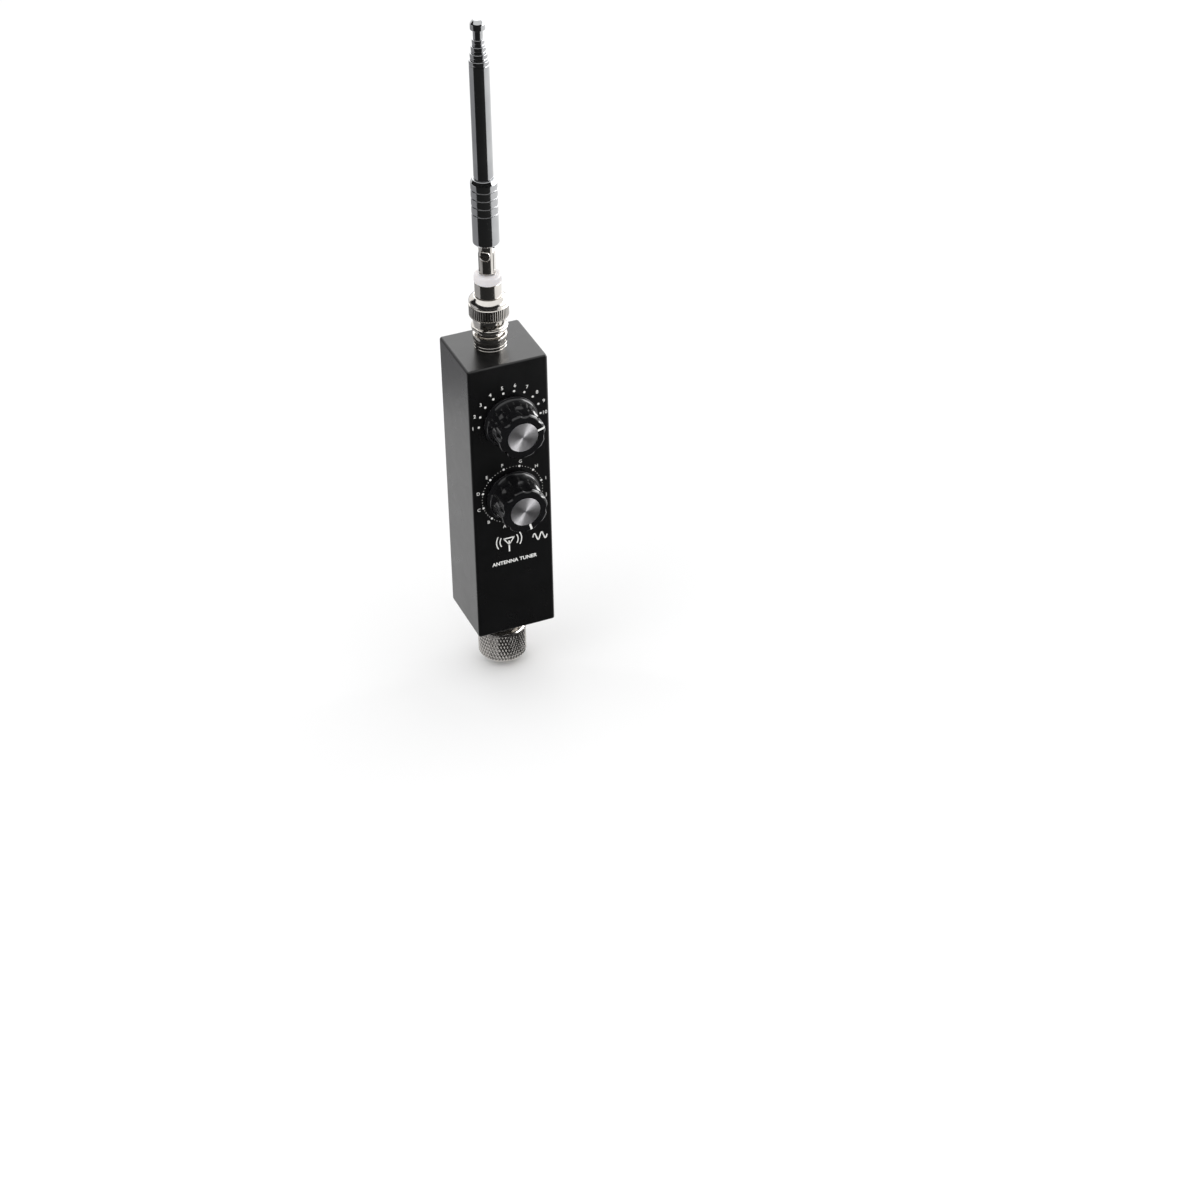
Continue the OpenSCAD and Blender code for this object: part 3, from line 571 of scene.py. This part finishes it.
def front_print():
    """A generic aerial symbol with its waves, a short sine wave and a plain caption."""
    x, y = -2.0, 39.3
    marks = [
        stroke([(x, y - 3.4), (x, y + 1.4)], 0.55),
        stroke([(x - 2.0, y + 2.6), (x, y - 0.4), (x + 2.0, y + 2.6)], 0.5),
        stroke([(x - 2.2, y + 2.6), (x + 2.2, y + 2.6)], 0.5),
    ]
    for side in (-1, 1):
        for radius in (3.6, 5.0):
            arc = [math.radians(side * 90 + d) for d in range(-32, 33, 8)]
            marks.append(stroke([(x + radius * math.sin(a), y + 1.4 + radius * math.cos(a)) for a in arc], 0.4))
    wave = [(7.4 + 0.205 * k, y + 0.2 + 1.5 * math.sin(TURN * k / 14)) for k in range(29)]
    marks.append(stroke(wave, 0.5))
    marks.append(words("ANTENNA TUNER", -0.1, 31.4, 1.55, 0.05))
    return joined(*marks)


for name, bm, centre in (
    ("tune_scale", tune_scale(), TUNE),
    ("band_scale", band_scale(), BAND),
    ("front_print", front_print(), Vector((CASE_MID.x, 0, CASE_LOW.z))),
):
    piece(name, moved(bm, on_panel(centre)), "case", "white_inlay")

# ---- Knobs ----

SKIRT_R, GRIP_R, KNOB_H, KNOB_WELL_R, SHAFT_R, CAP_R = 10.4, 8.9, 12.94, 7.2, 3.0, 5.75
BROW_R, FLARE_TOP = 1.1, 4.6
FLUTES, FLUTE_R, FLUTE_OUT, FLUTE_END = 8, 4.0, 12.25, 8.2
GRUB_AT = 7.0


def fluted(angle, radius, height):
    """Finger flutes: round-ended scoops in the upper grip, their edges softened."""
    if height < FLARE_TOP or radius < 7.7:
        return radius
    reach = FLUTE_R**2 - max(0.0, FLUTE_END - height) ** 2
    off = (angle / TURN * FLUTES) % 1 - 0.5
    off *= TURN / FLUTES
    inside = reach - (FLUTE_OUT * math.sin(off)) ** 2
    if reach <= 0 or inside <= 0:
        return radius
    scoop = FLUTE_OUT * math.cos(off) - math.sqrt(inside) - max(0.0, height - KNOB_H + 0.6) * 0.6
    soft = 0.12
    mix = max(0.0, soft - abs(radius - scoop)) / soft
    return min(radius, scoop) - mix * mix * soft * 0.25


def brow(grow=0.0):
    """The rounded edge of a knob's top, from the side up, moved out by a little."""
    turns = (math.radians(11.25 * k) for k in range(9))
    r = BROW_R + grow
    return [(GRIP_R - BROW_R + r * math.cos(a), KNOB_H - BROW_R + r * math.sin(a)) for a in turns]


def knob_body():
    profile = rounded(
        [(0, 10.6), (SHAFT_R, 10.6, 0), (SHAFT_R, 3.9, 0.2), (KNOB_WELL_R, 3.9, 0.3), (KNOB_WELL_R, 0.6, 0.2),
         (SKIRT_R, 0.6, 0.25), (SKIRT_R, 1.7, 0.25), (10.1, 1.75)], 0.2,
    )
    foot, bend, top = Vector((10.05, 1.77)), Vector((9.3, 2.1)), Vector((9.06, FLARE_TOP))
    for k in range(13):
        t = k / 12
        profile.append(tuple(foot * (1 - t) ** 2 + bend * 2 * t * (1 - t) + top * t * t))
    profile += spread((9.05, FLARE_TOP + 0.15), (GRIP_R, KNOB_H - BROW_R - 0.1), 36)
    profile += brow()
    profile += rounded([(7.4, KNOB_H), (CAP_R + 0.05, KNOB_H, 0.08), (CAP_R + 0.05, 12.4, 0), (0, 12.4)], 0.1)
    body = lathe(profile, 288, closed=False, shape=fluted)
    hole = lifted(moved(rod(1.52, SHAFT_R - 1, 12, 32), spun_about("Y", 90)), GRUB_AT)
    return cut(body, hole)


def knob_cap():
    """A spun disc: shallow turning rings, a centre mark and an eased rim."""
    face = [(CAP_R - 0.25, 12.9)]
    count = 26
    for k in range(count, 0, -1):
        r = (CAP_R - 0.35) * k / count
        face += [(r, 12.9 + (0.003 if k % 2 else 0.0))]
    rim = rounded([(0, 12.4), (CAP_R, 12.4, 0), (CAP_R, 12.92, 0.12), (CAP_R - 0.25, 12.9)], 0.1)
    return lathe(rim + face[1:] + [(0.18, 12.9), (0, 12.84)], 128, closed=False)


def knob_pointer():
    """The white line let into the knob's top, over its rounded edge."""
    outline = [(CAP_R + 0.1, KNOB_H - 0.25)] + brow(-0.25)[::-1] + brow(0.02) + [(CAP_R + 0.1, KNOB_H + 0.02)]
    return moved(plate(outline, -0.4, 0.4), spun_about("X", 90))


for word, centre, turn in (("tuning", TUNE, math.radians(15)), ("band", BAND, math.radians(-75))):
    face = on_panel(centre, turn)
    body = word + "_control"
    piece(word + "_grip", moved(knob_body(), face), body, "knob_black", [word + "_knob"], crease=40)
    piece(word + "_disc", moved(knob_cap(), face), body, "spun_aluminium", [word + "_knob_cap"])
    piece(word + "_line", moved(knob_pointer(), face), body, "white_inlay", [word + "_knob_pointer"])

# ---- Screw-on plug ----


def tri(value):
    """0 at whole numbers and 1 half-way between them."""
    return 1 - abs(2 * (value % 1) - 1)


def diamond(radius, depth, teeth, pitch, low, high):
    """A diamond knurl between two heights: two families of crossing grooves."""

    def shape(angle, r, z):
        if r < radius - 0.02 or not low <= z <= high:
            return r
        turned = teeth * angle / TURN
        climbed = (z - low) / pitch
        crest = min(1.0, 1.25 * min(tri(turned + climbed), tri(turned - climbed)))
        return r - depth * (1 - crest)

    return shape


def straight(radius, depth, teeth, low, high):
    """A straight knurl between two heights: flat-topped ridges along the axis."""

    def shape(angle, r, z):
        if r < radius - 0.02 or not low <= z <= high:
            return r
        return r - depth * (1 - min(1.0, 1.7 * tri(teeth * angle / TURN)))

    return shape


COUPLING_R, COUPLING_BORE_R, KNURL_TEETH, KNURL_PITCH = 9.25, 7.45, 46, 3.1
THREAD_PITCH, THREAD_DEPTH, THREAD_TURNS = 25.4 / 24, 0.5, 9


def coupling_ring():
    low, rows = 0.8, 21
    high = low + rows * KNURL_PITCH / 6
    knurl = diamond(COUPLING_R, 0.34, KNURL_TEETH, KNURL_PITCH, low, high)
    outer = [(8.45, 0.0), (8.7, 0.02), (8.85, 0.3), (8.9, 0.7)]
    outer += spread((COUPLING_R, low), (COUPLING_R, high), rows)
    outer += [(8.95, high + 0.1), (8.93, 12.1)]
    root_r = COUPLING_BORE_R + THREAD_DEPTH
    outer += rounded(
        [(8.9, 12.15), (8.65, 12.6, 0.25), (6.15, 12.6, 0.15), (6.15, 9.5, 0), (root_r, 9.5)], 0.2)[1:]
    bore = spread((root_r, 9.3), (root_r, 0.5), THREAD_TURNS * 6)

    def shape(angle, r, z):
        if abs(r - root_r) < 0.01 and 0.45 < z < 9.35:
            return COUPLING_BORE_R + THREAD_DEPTH * (1 - tri(z / THREAD_PITCH - angle / TURN))
        return knurl(angle, r, z)

    return lathe(outer + bore + [(7.9, 0.3), (8.1, 0.0)], KNURL_TEETH * 6, shape=shape)


def plug_shell():
    profile = rounded(
        [(4.9, 2.5), (5.9, 2.5, 0.25), (5.9, 7.9), (7.0, 7.9), (7.0, 9.2), (6.05, 9.2), (6.05, 15.5, 0.1),
         (8.4, 15.5, 0.3), (8.4, 18.5, 0.35), (5.95, 18.5, 0), (5.95, 24.5), (4.9, 24.5)], 0.1, closed=True,
    )
    notches = [
        moved(block((4, -0.8, 1.5), (7, 0.8, 3.7)), spun_about("Z", 45 + 90 * k))
        for k in range(4)
    ]
    return cut(lathe(profile, 96), *notches)


def plug_pin():
    return lathe(rounded(
        [(0, -1.5), (0.85, -1.5), (0.95, -3.5, 0.1), (1.2, -3.5, 0.1), (1.98, -2.7, 0.3), (1.98, 8.8),
         (1.6, 8.8), (1.6, 22.5), (1.2, 22.5), (1.2, 28), (0, 28)], 0.1), 64, closed=False)


# The coupling's look paints shade and dirt into its knurl's grooves
piece("coupling_knurled", coupling_ring(), "coupling", "nickel", ["plug_coupling"], crease=20,
      look="coupling_nickel_shade_and_dirt")
piece("plug_shell", plug_shell(), "case", "nickel", ["plug_body"])
piece("plug_contact", plug_pin(), "case", "brass", ["plug_pin"])

# ---- Bayonet socket and ring, heights above the case ----

LUG_AT = 11.6
LUG_TURNS = (-62, 118)
SLOT_TURN, SLOT_DROP = -72, 1.3


def cross_rod(radius, low, high, sides=48):
    """A rod along +X at the lugs' height."""
    return lifted(moved(rod(radius, low, high, sides), spun_about("Y", 90)), LUG_AT)


def socket_shell():
    outer = [(3.2, -6), (4.7, -6, 0.2), (4.7, 0, 0), (5.88, 0, 0)]
    for z in (1.1, 2.3):
        outer += [(5.88, z - 0.12, 0), (5.74, z, 0), (5.88, z + 0.12, 0)]
    outer += [(5.88, 3.6, 0), (5.7, 3.7, 0), (5.7, 4.1, 0), (6.25, 4.15, 0.45), (6.25, 6.06, 0.45)]
    outer += [(4.8, 6.06, 0.12), (4.8, 16.6, 0.3)]
    inner = [(4.1, 16.6, 0.15), (4.1, 7.5), (3.2, 7.5)]
    lugs = [moved(cross_rod(1.0, 4.3, 5.45), spun_about("Z", turn)) for turn in LUG_TURNS]
    return fused(lathe(rounded(outer + inner, 0.1, closed=True), 96), *lugs)


def slot_window():
    """The sloping slot through the ring's waist, from the lug's hole down towards the open end."""
    bm = bmesh.new()
    steps = 16
    last = None
    for k in range(steps + 1):
        angle = math.radians(SLOT_TURN * k / steps)
        middle_z = LUG_AT - SLOT_DROP * k / steps
        corners = []
        for r, z in ((5.2, -1.1), (7.8, -1.1), (7.8, 1.1), (5.2, 1.1)):
            corners.append(bm.verts.new((r * math.cos(angle), r * math.sin(angle), middle_z + z)))
        if last:
            for i in range(4):
                bm.faces.new((last[i], last[(i + 1) % 4], corners[(i + 1) % 4], corners[i]))
        else:
            bm.faces.new(list(reversed(corners)))
        last = corners
    bm.faces.new(last)
    bmesh.ops.recalc_face_normals(bm, faces=bm.faces)
    return bm


def bayonet_ring():
    teeth = 52
    outer = rounded([(4.9, 8.1), (6.35, 8.1, 0.3), (6.65, 8.5, 0.3), (6.65, 9.35, 0.4), (5.8, 9.75, 0.2),
                     (5.98, 13.38, 0.1), (6.95, 13.4, 0.1)], 0.1)
    outer += [(7.15, 13.5), (7.25, 13.68), (7.25, 13.7)] + spread((7.25, 13.8), (7.25, 17.85), 4)
    outer += [(7.25, 17.95), (7.1, 18.15)]
    outer += rounded(
        [(7.0, 18.2), (6.85, 18.22, 0.05), (6.85, 18.85, 0.05), (7.1, 18.9, 0.1), (7.15, 19.6, 0.5),
         (6.6, 20.4, 0.5), (5.4, 21.4, 0.15), (4.95, 21.4, 0.08), (4.95, 19.6), (6.1, 19.6), (6.1, 14.2),
         (4.9, 14.2), (4.9, 12.9), (5.6, 12.9), (5.6, 10.3), (4.9, 10.3), (4.9, 8.6)], 0.08)
    shape = straight(7.25, 0.36, teeth, 13.75, 17.9)
    ring = lathe(outer, teeth * 8, shape=shape)
    tools = []
    for turn in LUG_TURNS:
        tools.append(moved(cross_rod(1.2, 4, 8), spun_about("Z", turn)))
        tools.append(moved(slot_window(), spun_about("Z", turn)))
        tools.append(moved(block((4, -1.3, 7.1), (5.6, 1.3, LUG_AT)), spun_about("Z", turn - 90)))
    return cut(ring, *tools)


def whip_plug_shell():
    return lathe(rounded(
        [(3.3, 8.2), (4.05, 8.2, 0.15), (4.05, 17.2), (5.9, 17.2), (5.9, 19.4), (4.85, 19.4), (4.85, 26.9, 0.3),
         (3.6, 26.9), (3.6, 22), (2.6, 22), (2.6, 18), (3.3, 18)], 0.08, closed=True), 96)


piece("socket_body", lifted(socket_shell(), TOP), "case", "nickel", ["socket_shell"], crease=24)
# The lock ring's look paints shade and dirt into its knurl's grooves
piece("lock_ring_knurled", lifted(bayonet_ring(), TOP), "lock_ring", "nickel", ["bayonet_ring"], crease=28,
      look="ring_nickel_shade_and_dirt")
piece("whip_plug_shell", lifted(whip_plug_shell(), TOP), "whip_base", "nickel", ["whip_plug_body"])

# ---- Elbow, heights from the pivot ----

FORK_R, TONGUE_HALF, TONGUE_T, FORK_SLOT = 2.9, 2.8, 2.4, 2.6
PIVOT = box_mm("elbow_tongue")[1].z - TONGUE_HALF
STUB_LOW = TOP + 22 - PIVOT
TONGUE_LOW = TOP + 28 - PIVOT
BODY_TOP = TOP + 26.9 - PIVOT
FLAT_AT = 2.6
ELBOW = Matrix.Translation((0, 0, PIVOT)) @ spun_about("Z", -35)


def across(radius, low, high, sides=48):
    """A rod along -Y through the pivot."""
    return moved(rod(radius, low, high, sides), spun_about("X", 90))


def insulator():
    high = BODY_TOP + 3.2
    solid = lathe(rounded(
        [(0, STUB_LOW), (3.6, STUB_LOW), (3.6, BODY_TOP), (4.95, BODY_TOP, 0.25), (4.95, high, 1.3), (0, high)],
        0.1, steps=6), 96, closed=False)
    slot = block((-TONGUE_HALF, -TONGUE_T / 2, TONGUE_LOW), (TONGUE_HALF, TONGUE_T / 2, TONGUE_LOW + 5))
    return cut(solid, rod(1.5, STUB_LOW - 1, TONGUE_LOW + 0.1), slot)


def tongue():
    outline = [(-TONGUE_HALF, TONGUE_LOW), (TONGUE_HALF, TONGUE_LOW)]
    turns = (math.radians(a) for a in range(0, 181, 6))
    outline += [(TONGUE_HALF * math.cos(a), TONGUE_HALF * math.sin(a)) for a in turns]
    blade = moved(plate(outline, -TONGUE_T / 2, TONGUE_T / 2), spun_about("X", 90))
    return cut(fused(blade, rod(1.5, STUB_LOW, TONGUE_LOW + 0.2, 48)), across(1.05, -4, 4))


def fork():
    solid = lathe([(0, -7.4), (FORK_R, -7.4), (FORK_R, 8), (0, 8)], 72, closed=False)
    slot = block((-4, -FORK_SLOT / 2, -9), (4, FORK_SLOT / 2, 3.2))
    corner = cut(block((-4, -4, -9), (0, 4, -7.4 + FORK_R)), lifted(across(FORK_R, -6, 6, 72), -7.4 + FORK_R))
    flats = [block((-2.2, y, -2.2), (2.2, y + 2, 2.2)) for y in (-FLAT_AT - 2, FLAT_AT)]
    return cut(solid, slot, corner, *flats, across(1.0, -5, 5))


def pivot_pin():
    pin = lathe(rounded(
        [(0, -3.05), (0.9, -3.05, 0.15), (1.5, -FLAT_AT, 0.05), (1.0, -FLAT_AT, 0), (1.0, FLAT_AT, 0),
         (2.0, FLAT_AT, 0), (2.0, FLAT_AT + 0.25, 0.15), (1.7, FLAT_AT + 0.62, 0.3),
         (0.9, FLAT_AT + 0.85, 0.4), (0, FLAT_AT + 0.88)], 0.1), 64, closed=False)
    return moved(cut(pin, block((-2, -0.22, FLAT_AT + 0.4), (2, 0.22, 5))), spun_about("X", 90))


piece("whip_base_insulator", moved(insulator(), ELBOW), "whip_base", "white_insulator", ["whip_insulator"],
      ease=0.1)
piece("hinge_tongue", moved(tongue(), ELBOW), "whip_base", "nickel", ["elbow_tongue"], ease=0.12)
piece("hinge_fork", moved(fork(), ELBOW), "whip_lower", "nickel", ["elbow_fork"], ease=0.12)
piece("hinge_screw", moved(pivot_pin(), ELBOW), "whip_lower", "nickel", ["elbow_pivot"])

# ---- Telescopic whip, heights from the pivot ----

BARREL_R, BARREL_LOW, BARREL_LEN, TUBE_R, TUBE_STEP, TUBE_WALL = 4.75, 3.7, 24.4, 3.5, 0.45, 0.3
SLIDE_GAP, MOUTH_LEN, FOOT_LEN = 0.04, 2.5, 6.0
GROOVE_FIRST, GROOVE_PITCH, GROOVE_W = 12.4, 3.1, 0.4


def barrel():
    low, high = BARREL_LOW, BARREL_LOW + BARREL_LEN
    profile = rounded(
        [(0, low + 4.3), (FORK_R, low + 4.3, 0), (FORK_R, low, 0.05), (BARREL_R - 1, low, 0.15),
         (BARREL_R, low + 1, 0.25), (BARREL_R, low + 3)], 0.1)
    grooves = [low + GROOVE_FIRST + GROOVE_PITCH * k for k in range(4)]
    for k, g in enumerate(grooves):
        profile += rounded(
            [(BARREL_R, g - 0.3), (BARREL_R, g, 0.09), (BARREL_R - 0.3, g + 0.04, 0.05),
             (BARREL_R - 0.3, g + GROOVE_W - 0.04, 0.05), (BARREL_R, g + GROOVE_W, 0.09),
             (BARREL_R, g + GROOVE_W + 0.3)], 0.1, steps=3)
        if k < 3:
            profile += spread((BARREL_R, g + GROOVE_W + 0.35), (BARREL_R, g + GROOVE_PITCH - 0.35), 14)
    profile += rounded(
        [(BARREL_R, high - 0.8), (BARREL_R, high, 0.3), (TUBE_R + 0.6, high + 1.5, 0.2),
         (TUBE_R, high + 1.5, 0.1), (TUBE_R, low + 7.3, 0), (0, low + 7.3)], 0.1)
    knurls = [diamond(BARREL_R, 0.02, 60, 0.9, g + GROOVE_W + 0.4, g + GROOVE_PITCH - 0.4) for g in grooves[:3]]

    def shape(angle, r, z):
        for knurl in knurls:
            r = knurl(angle, r, z)
        return r

    return lathe(profile, 360, closed=False, shape=shape)


def tube(k):
    """A drawn tube with its mouth rolled in and, but for the widest one, a swelled foot."""
    low, high = heights(f"whip_tube_{k}")
    r = TUBE_R - TUBE_STEP * (k - 1)
    hole = r - TUBE_STEP + SLIDE_GAP
    foot = r + TUBE_STEP - TUBE_WALL - SLIDE_GAP
    start = [(r, low, 0.05)]
    if k > 1:
        start = [(foot, low, 0.1), (foot, low + FOOT_LEN - 0.3, 0.1), (r, low + FOOT_LEN, 0.1)]
    mouth = [(r, high - 1.9, 0.2), (r - 0.07, high - 1.75, 0.1), (r - 0.07, high - 1.45, 0.1),
             (r, high - 1.3, 0.2), (r, high, 0.3)]
    inner = [(hole, high, 0.05), (hole, high - MOUTH_LEN, 0.05),
             (r - TUBE_WALL, high - MOUTH_LEN - 0.3, 0.1), (r - TUBE_WALL, low, 0.05)]
    return lathe(rounded(start + mouth + inner, 0.1, closed=True), 64)


def whip_end():
    """The solid innermost rod with its button."""
    low = heights("whip_rod")[0]
    button, top = heights("whip_tip")
    r = TUBE_R - TUBE_STEP * 4
    foot = r + TUBE_STEP - TUBE_WALL - SLIDE_GAP
    inner_rod = lathe(rounded(
        [(0, low), (foot, low, 0.1), (foot, low + FOOT_LEN, 0.1), (r, low + FOOT_LEN + 0.2, 0.1),
         (r, button, 0), (0, button)], 0.1), 48, closed=False)
    cap = lathe(rounded(
        [(0, button), (2.6, button, 0.25), (2.6, button + 2.3, 0.35), (1.5, top, 0.5), (0, top)],
        0.2, steps=5), 64, closed=False)
    return inner_rod, cap


piece("whip_grip", lifted(barrel(), PIVOT), "whip_lower", "nickel", ["whip_barrel"], crease=28, look="chrome")
for k, body in enumerate(("whip_lower", "section_2", "section_3", "section_4"), 1):
    piece(f"section_tube_{k}", lifted(tube(k), PIVOT), body, "nickel", [f"whip_tube_{k}"], look="chrome")
inner_rod, tip = whip_end()
piece("section_rod", lifted(inner_rod, PIVOT), "section_5", "nickel", ["whip_rod"], look="chrome")
piece("whip_button", lifted(tip, PIVOT), "section_5", "nickel", ["whip_tip"], look="chrome")

# ---- Floor, lights and camera, in metres ----

CAMERA_AT = Vector((-0.32337, -0.87338, 0.68447))
AZIMUTH, ELEVATION, ROLL = (math.radians(a) for a in (22.64, 35.45, 0.976))
FACING = math.atan2(CAMERA_AT.y, CAMERA_AT.x)
CENTRE = Vector((0, 0, 0.09))
CARD_LIFT = 0.0004


def aimed(direction):
    return Vector(direction).to_track_quat("-Z", "Y")


def staged(mesh, material):
    mesh.materials.append(material)
    obj = bpy.data.objects.new(mesh.name, mesh)
    SCENE.collection.objects.link(obj)
    return obj


def reflected_only(mesh, material):
    """Part of the studio that is seen in reflections and by nothing else."""
    obj = staged(mesh, material)
    obj.visible_camera = obj.visible_diffuse = obj.visible_shadow = obj.visible_transmission = False


def sheet(name, corners):
    mesh = bpy.data.meshes.new(name)
    mesh.from_pydata(corners, [], [tuple(range(len(corners)))])
    return mesh


def sector(near, far, start, end, height):
    """Part of a ring on the floor, its angles being degrees round from the side that faces the camera."""
    turns = [FACING + math.radians(start + (end - start) * k / 12) for k in range(13)]
    inner = [(near * math.cos(a), near * math.sin(a), height) for a in turns]
    return inner + [(far * math.cos(a), far * math.sin(a), height) for a in reversed(turns)]


def softbox(name, direction, distance, size, radiance, reflected):
    """A square light at a distance from the tuner's middle. It is seen in reflections alone or not at all."""
    lamp = bpy.data.lights.new(name, "AREA")
    lamp.shape, lamp.size, lamp.energy = "SQUARE", size, radiance * math.pi * size * size
    obj = bpy.data.objects.new(name, lamp)
    SCENE.collection.objects.link(obj)
    obj.location = CENTRE + Vector(direction).normalized() * distance
    obj.rotation_mode = "QUATERNION"
    obj.rotation_quaternion = aimed(CENTRE - obj.location)
    obj.visible_diffuse, obj.visible_glossy = not reflected, reflected


pale = Look("floor_pale")
pale.colour(pale.noise(0.004, 2), (0.3, (0.83, 0.83, 0.83)), (0.7, (0.86, 0.86, 0.86)))
pale.rough(pale.noise(0.01, 2), 0.75, 0.85)
dark = Look("dark_card", Base_Color=(0.002, 0.002, 0.002, 1), Roughness=0.9)
grey = Look("grey_card", Base_Color=(0.32, 0.32, 0.33, 1), Roughness=0.9)
FLOOR_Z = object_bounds()[0].z - 0.00005
staged(sheet("floor", [(-6, -6, FLOOR_Z), (6, -6, FLOOR_Z), (6, 6, FLOOR_Z), (-6, 6, FLOOR_Z)]), pale.material)
for name, near, far, start, end, look in (
    ("dark_card_near", 0.016, 0.034, -15, 75, dark),
    ("dark_card", 0.034, 0.19, -70, 75, dark),
    ("dark_card_far", 0.19, 1.7, -70, 54, dark),
    ("grey_card", 0.2, 0.8, -180, -70, grey),
):
    reflected_only(sheet(name, sector(near, far, start, end, FLOOR_Z + CARD_LIFT)), look.material)

# A dark wall behind and beside the camera
room = bpy.data.meshes.new("dark_room")
shell = [(1.6, FLOOR_Z), (1.6, 1.0), (1.5, 1.45)]
bends = [FACING + math.radians(-125 + 190 * k / 24) for k in range(25)]
room.from_pydata(
    [(r * math.cos(a), r * math.sin(a), z) for a in bends for r, z in shell], [],
    [(3 * k + i, 3 * k + i + 1, 3 * k + i + 4, 3 * k + i + 3) for k in range(24) for i in range(2)],
)
reflected_only(room, dark.material)

softbox("behind", (0.31, 0.75, 0.58), 1.3, 1.0, 1.4, True)
softbox("right", (0.92, -0.32, 0.25), 0.9, 0.6, 6.0, True)
softbox("rim", (0.92, 0.36, 0.15), 1.0, 0.75, 8.0, True)
softbox("left", (-0.8, -0.3, 0.7), 1.2, 0.7, 1.2, False)

world = bpy.data.worlds.new("studio")
SCENE.world = world
world.use_nodes = True
world.node_tree.nodes["Background"].inputs["Color"].default_value = (1, 1, 1, 1)
world.node_tree.nodes["Background"].inputs["Strength"].default_value = 1.17

lens = bpy.data.cameras.new("camera")
lens.lens, lens.sensor_width = 90.1, 36.0
lens.clip_start, lens.clip_end = 0.05, 30.0
camera = bpy.data.objects.new("camera", lens)
SCENE.collection.objects.link(camera)
ahead = (math.sin(AZIMUTH) * math.cos(ELEVATION), math.cos(AZIMUTH) * math.cos(ELEVATION), -math.sin(ELEVATION))
camera.location = CAMERA_AT
camera.rotation_mode = "QUATERNION"
camera.rotation_quaternion = aimed(ahead) @ Quaternion((0, 0, 1), -ROLL)
SCENE.camera = camera
SCENE.view_settings.view_transform = "Standard"
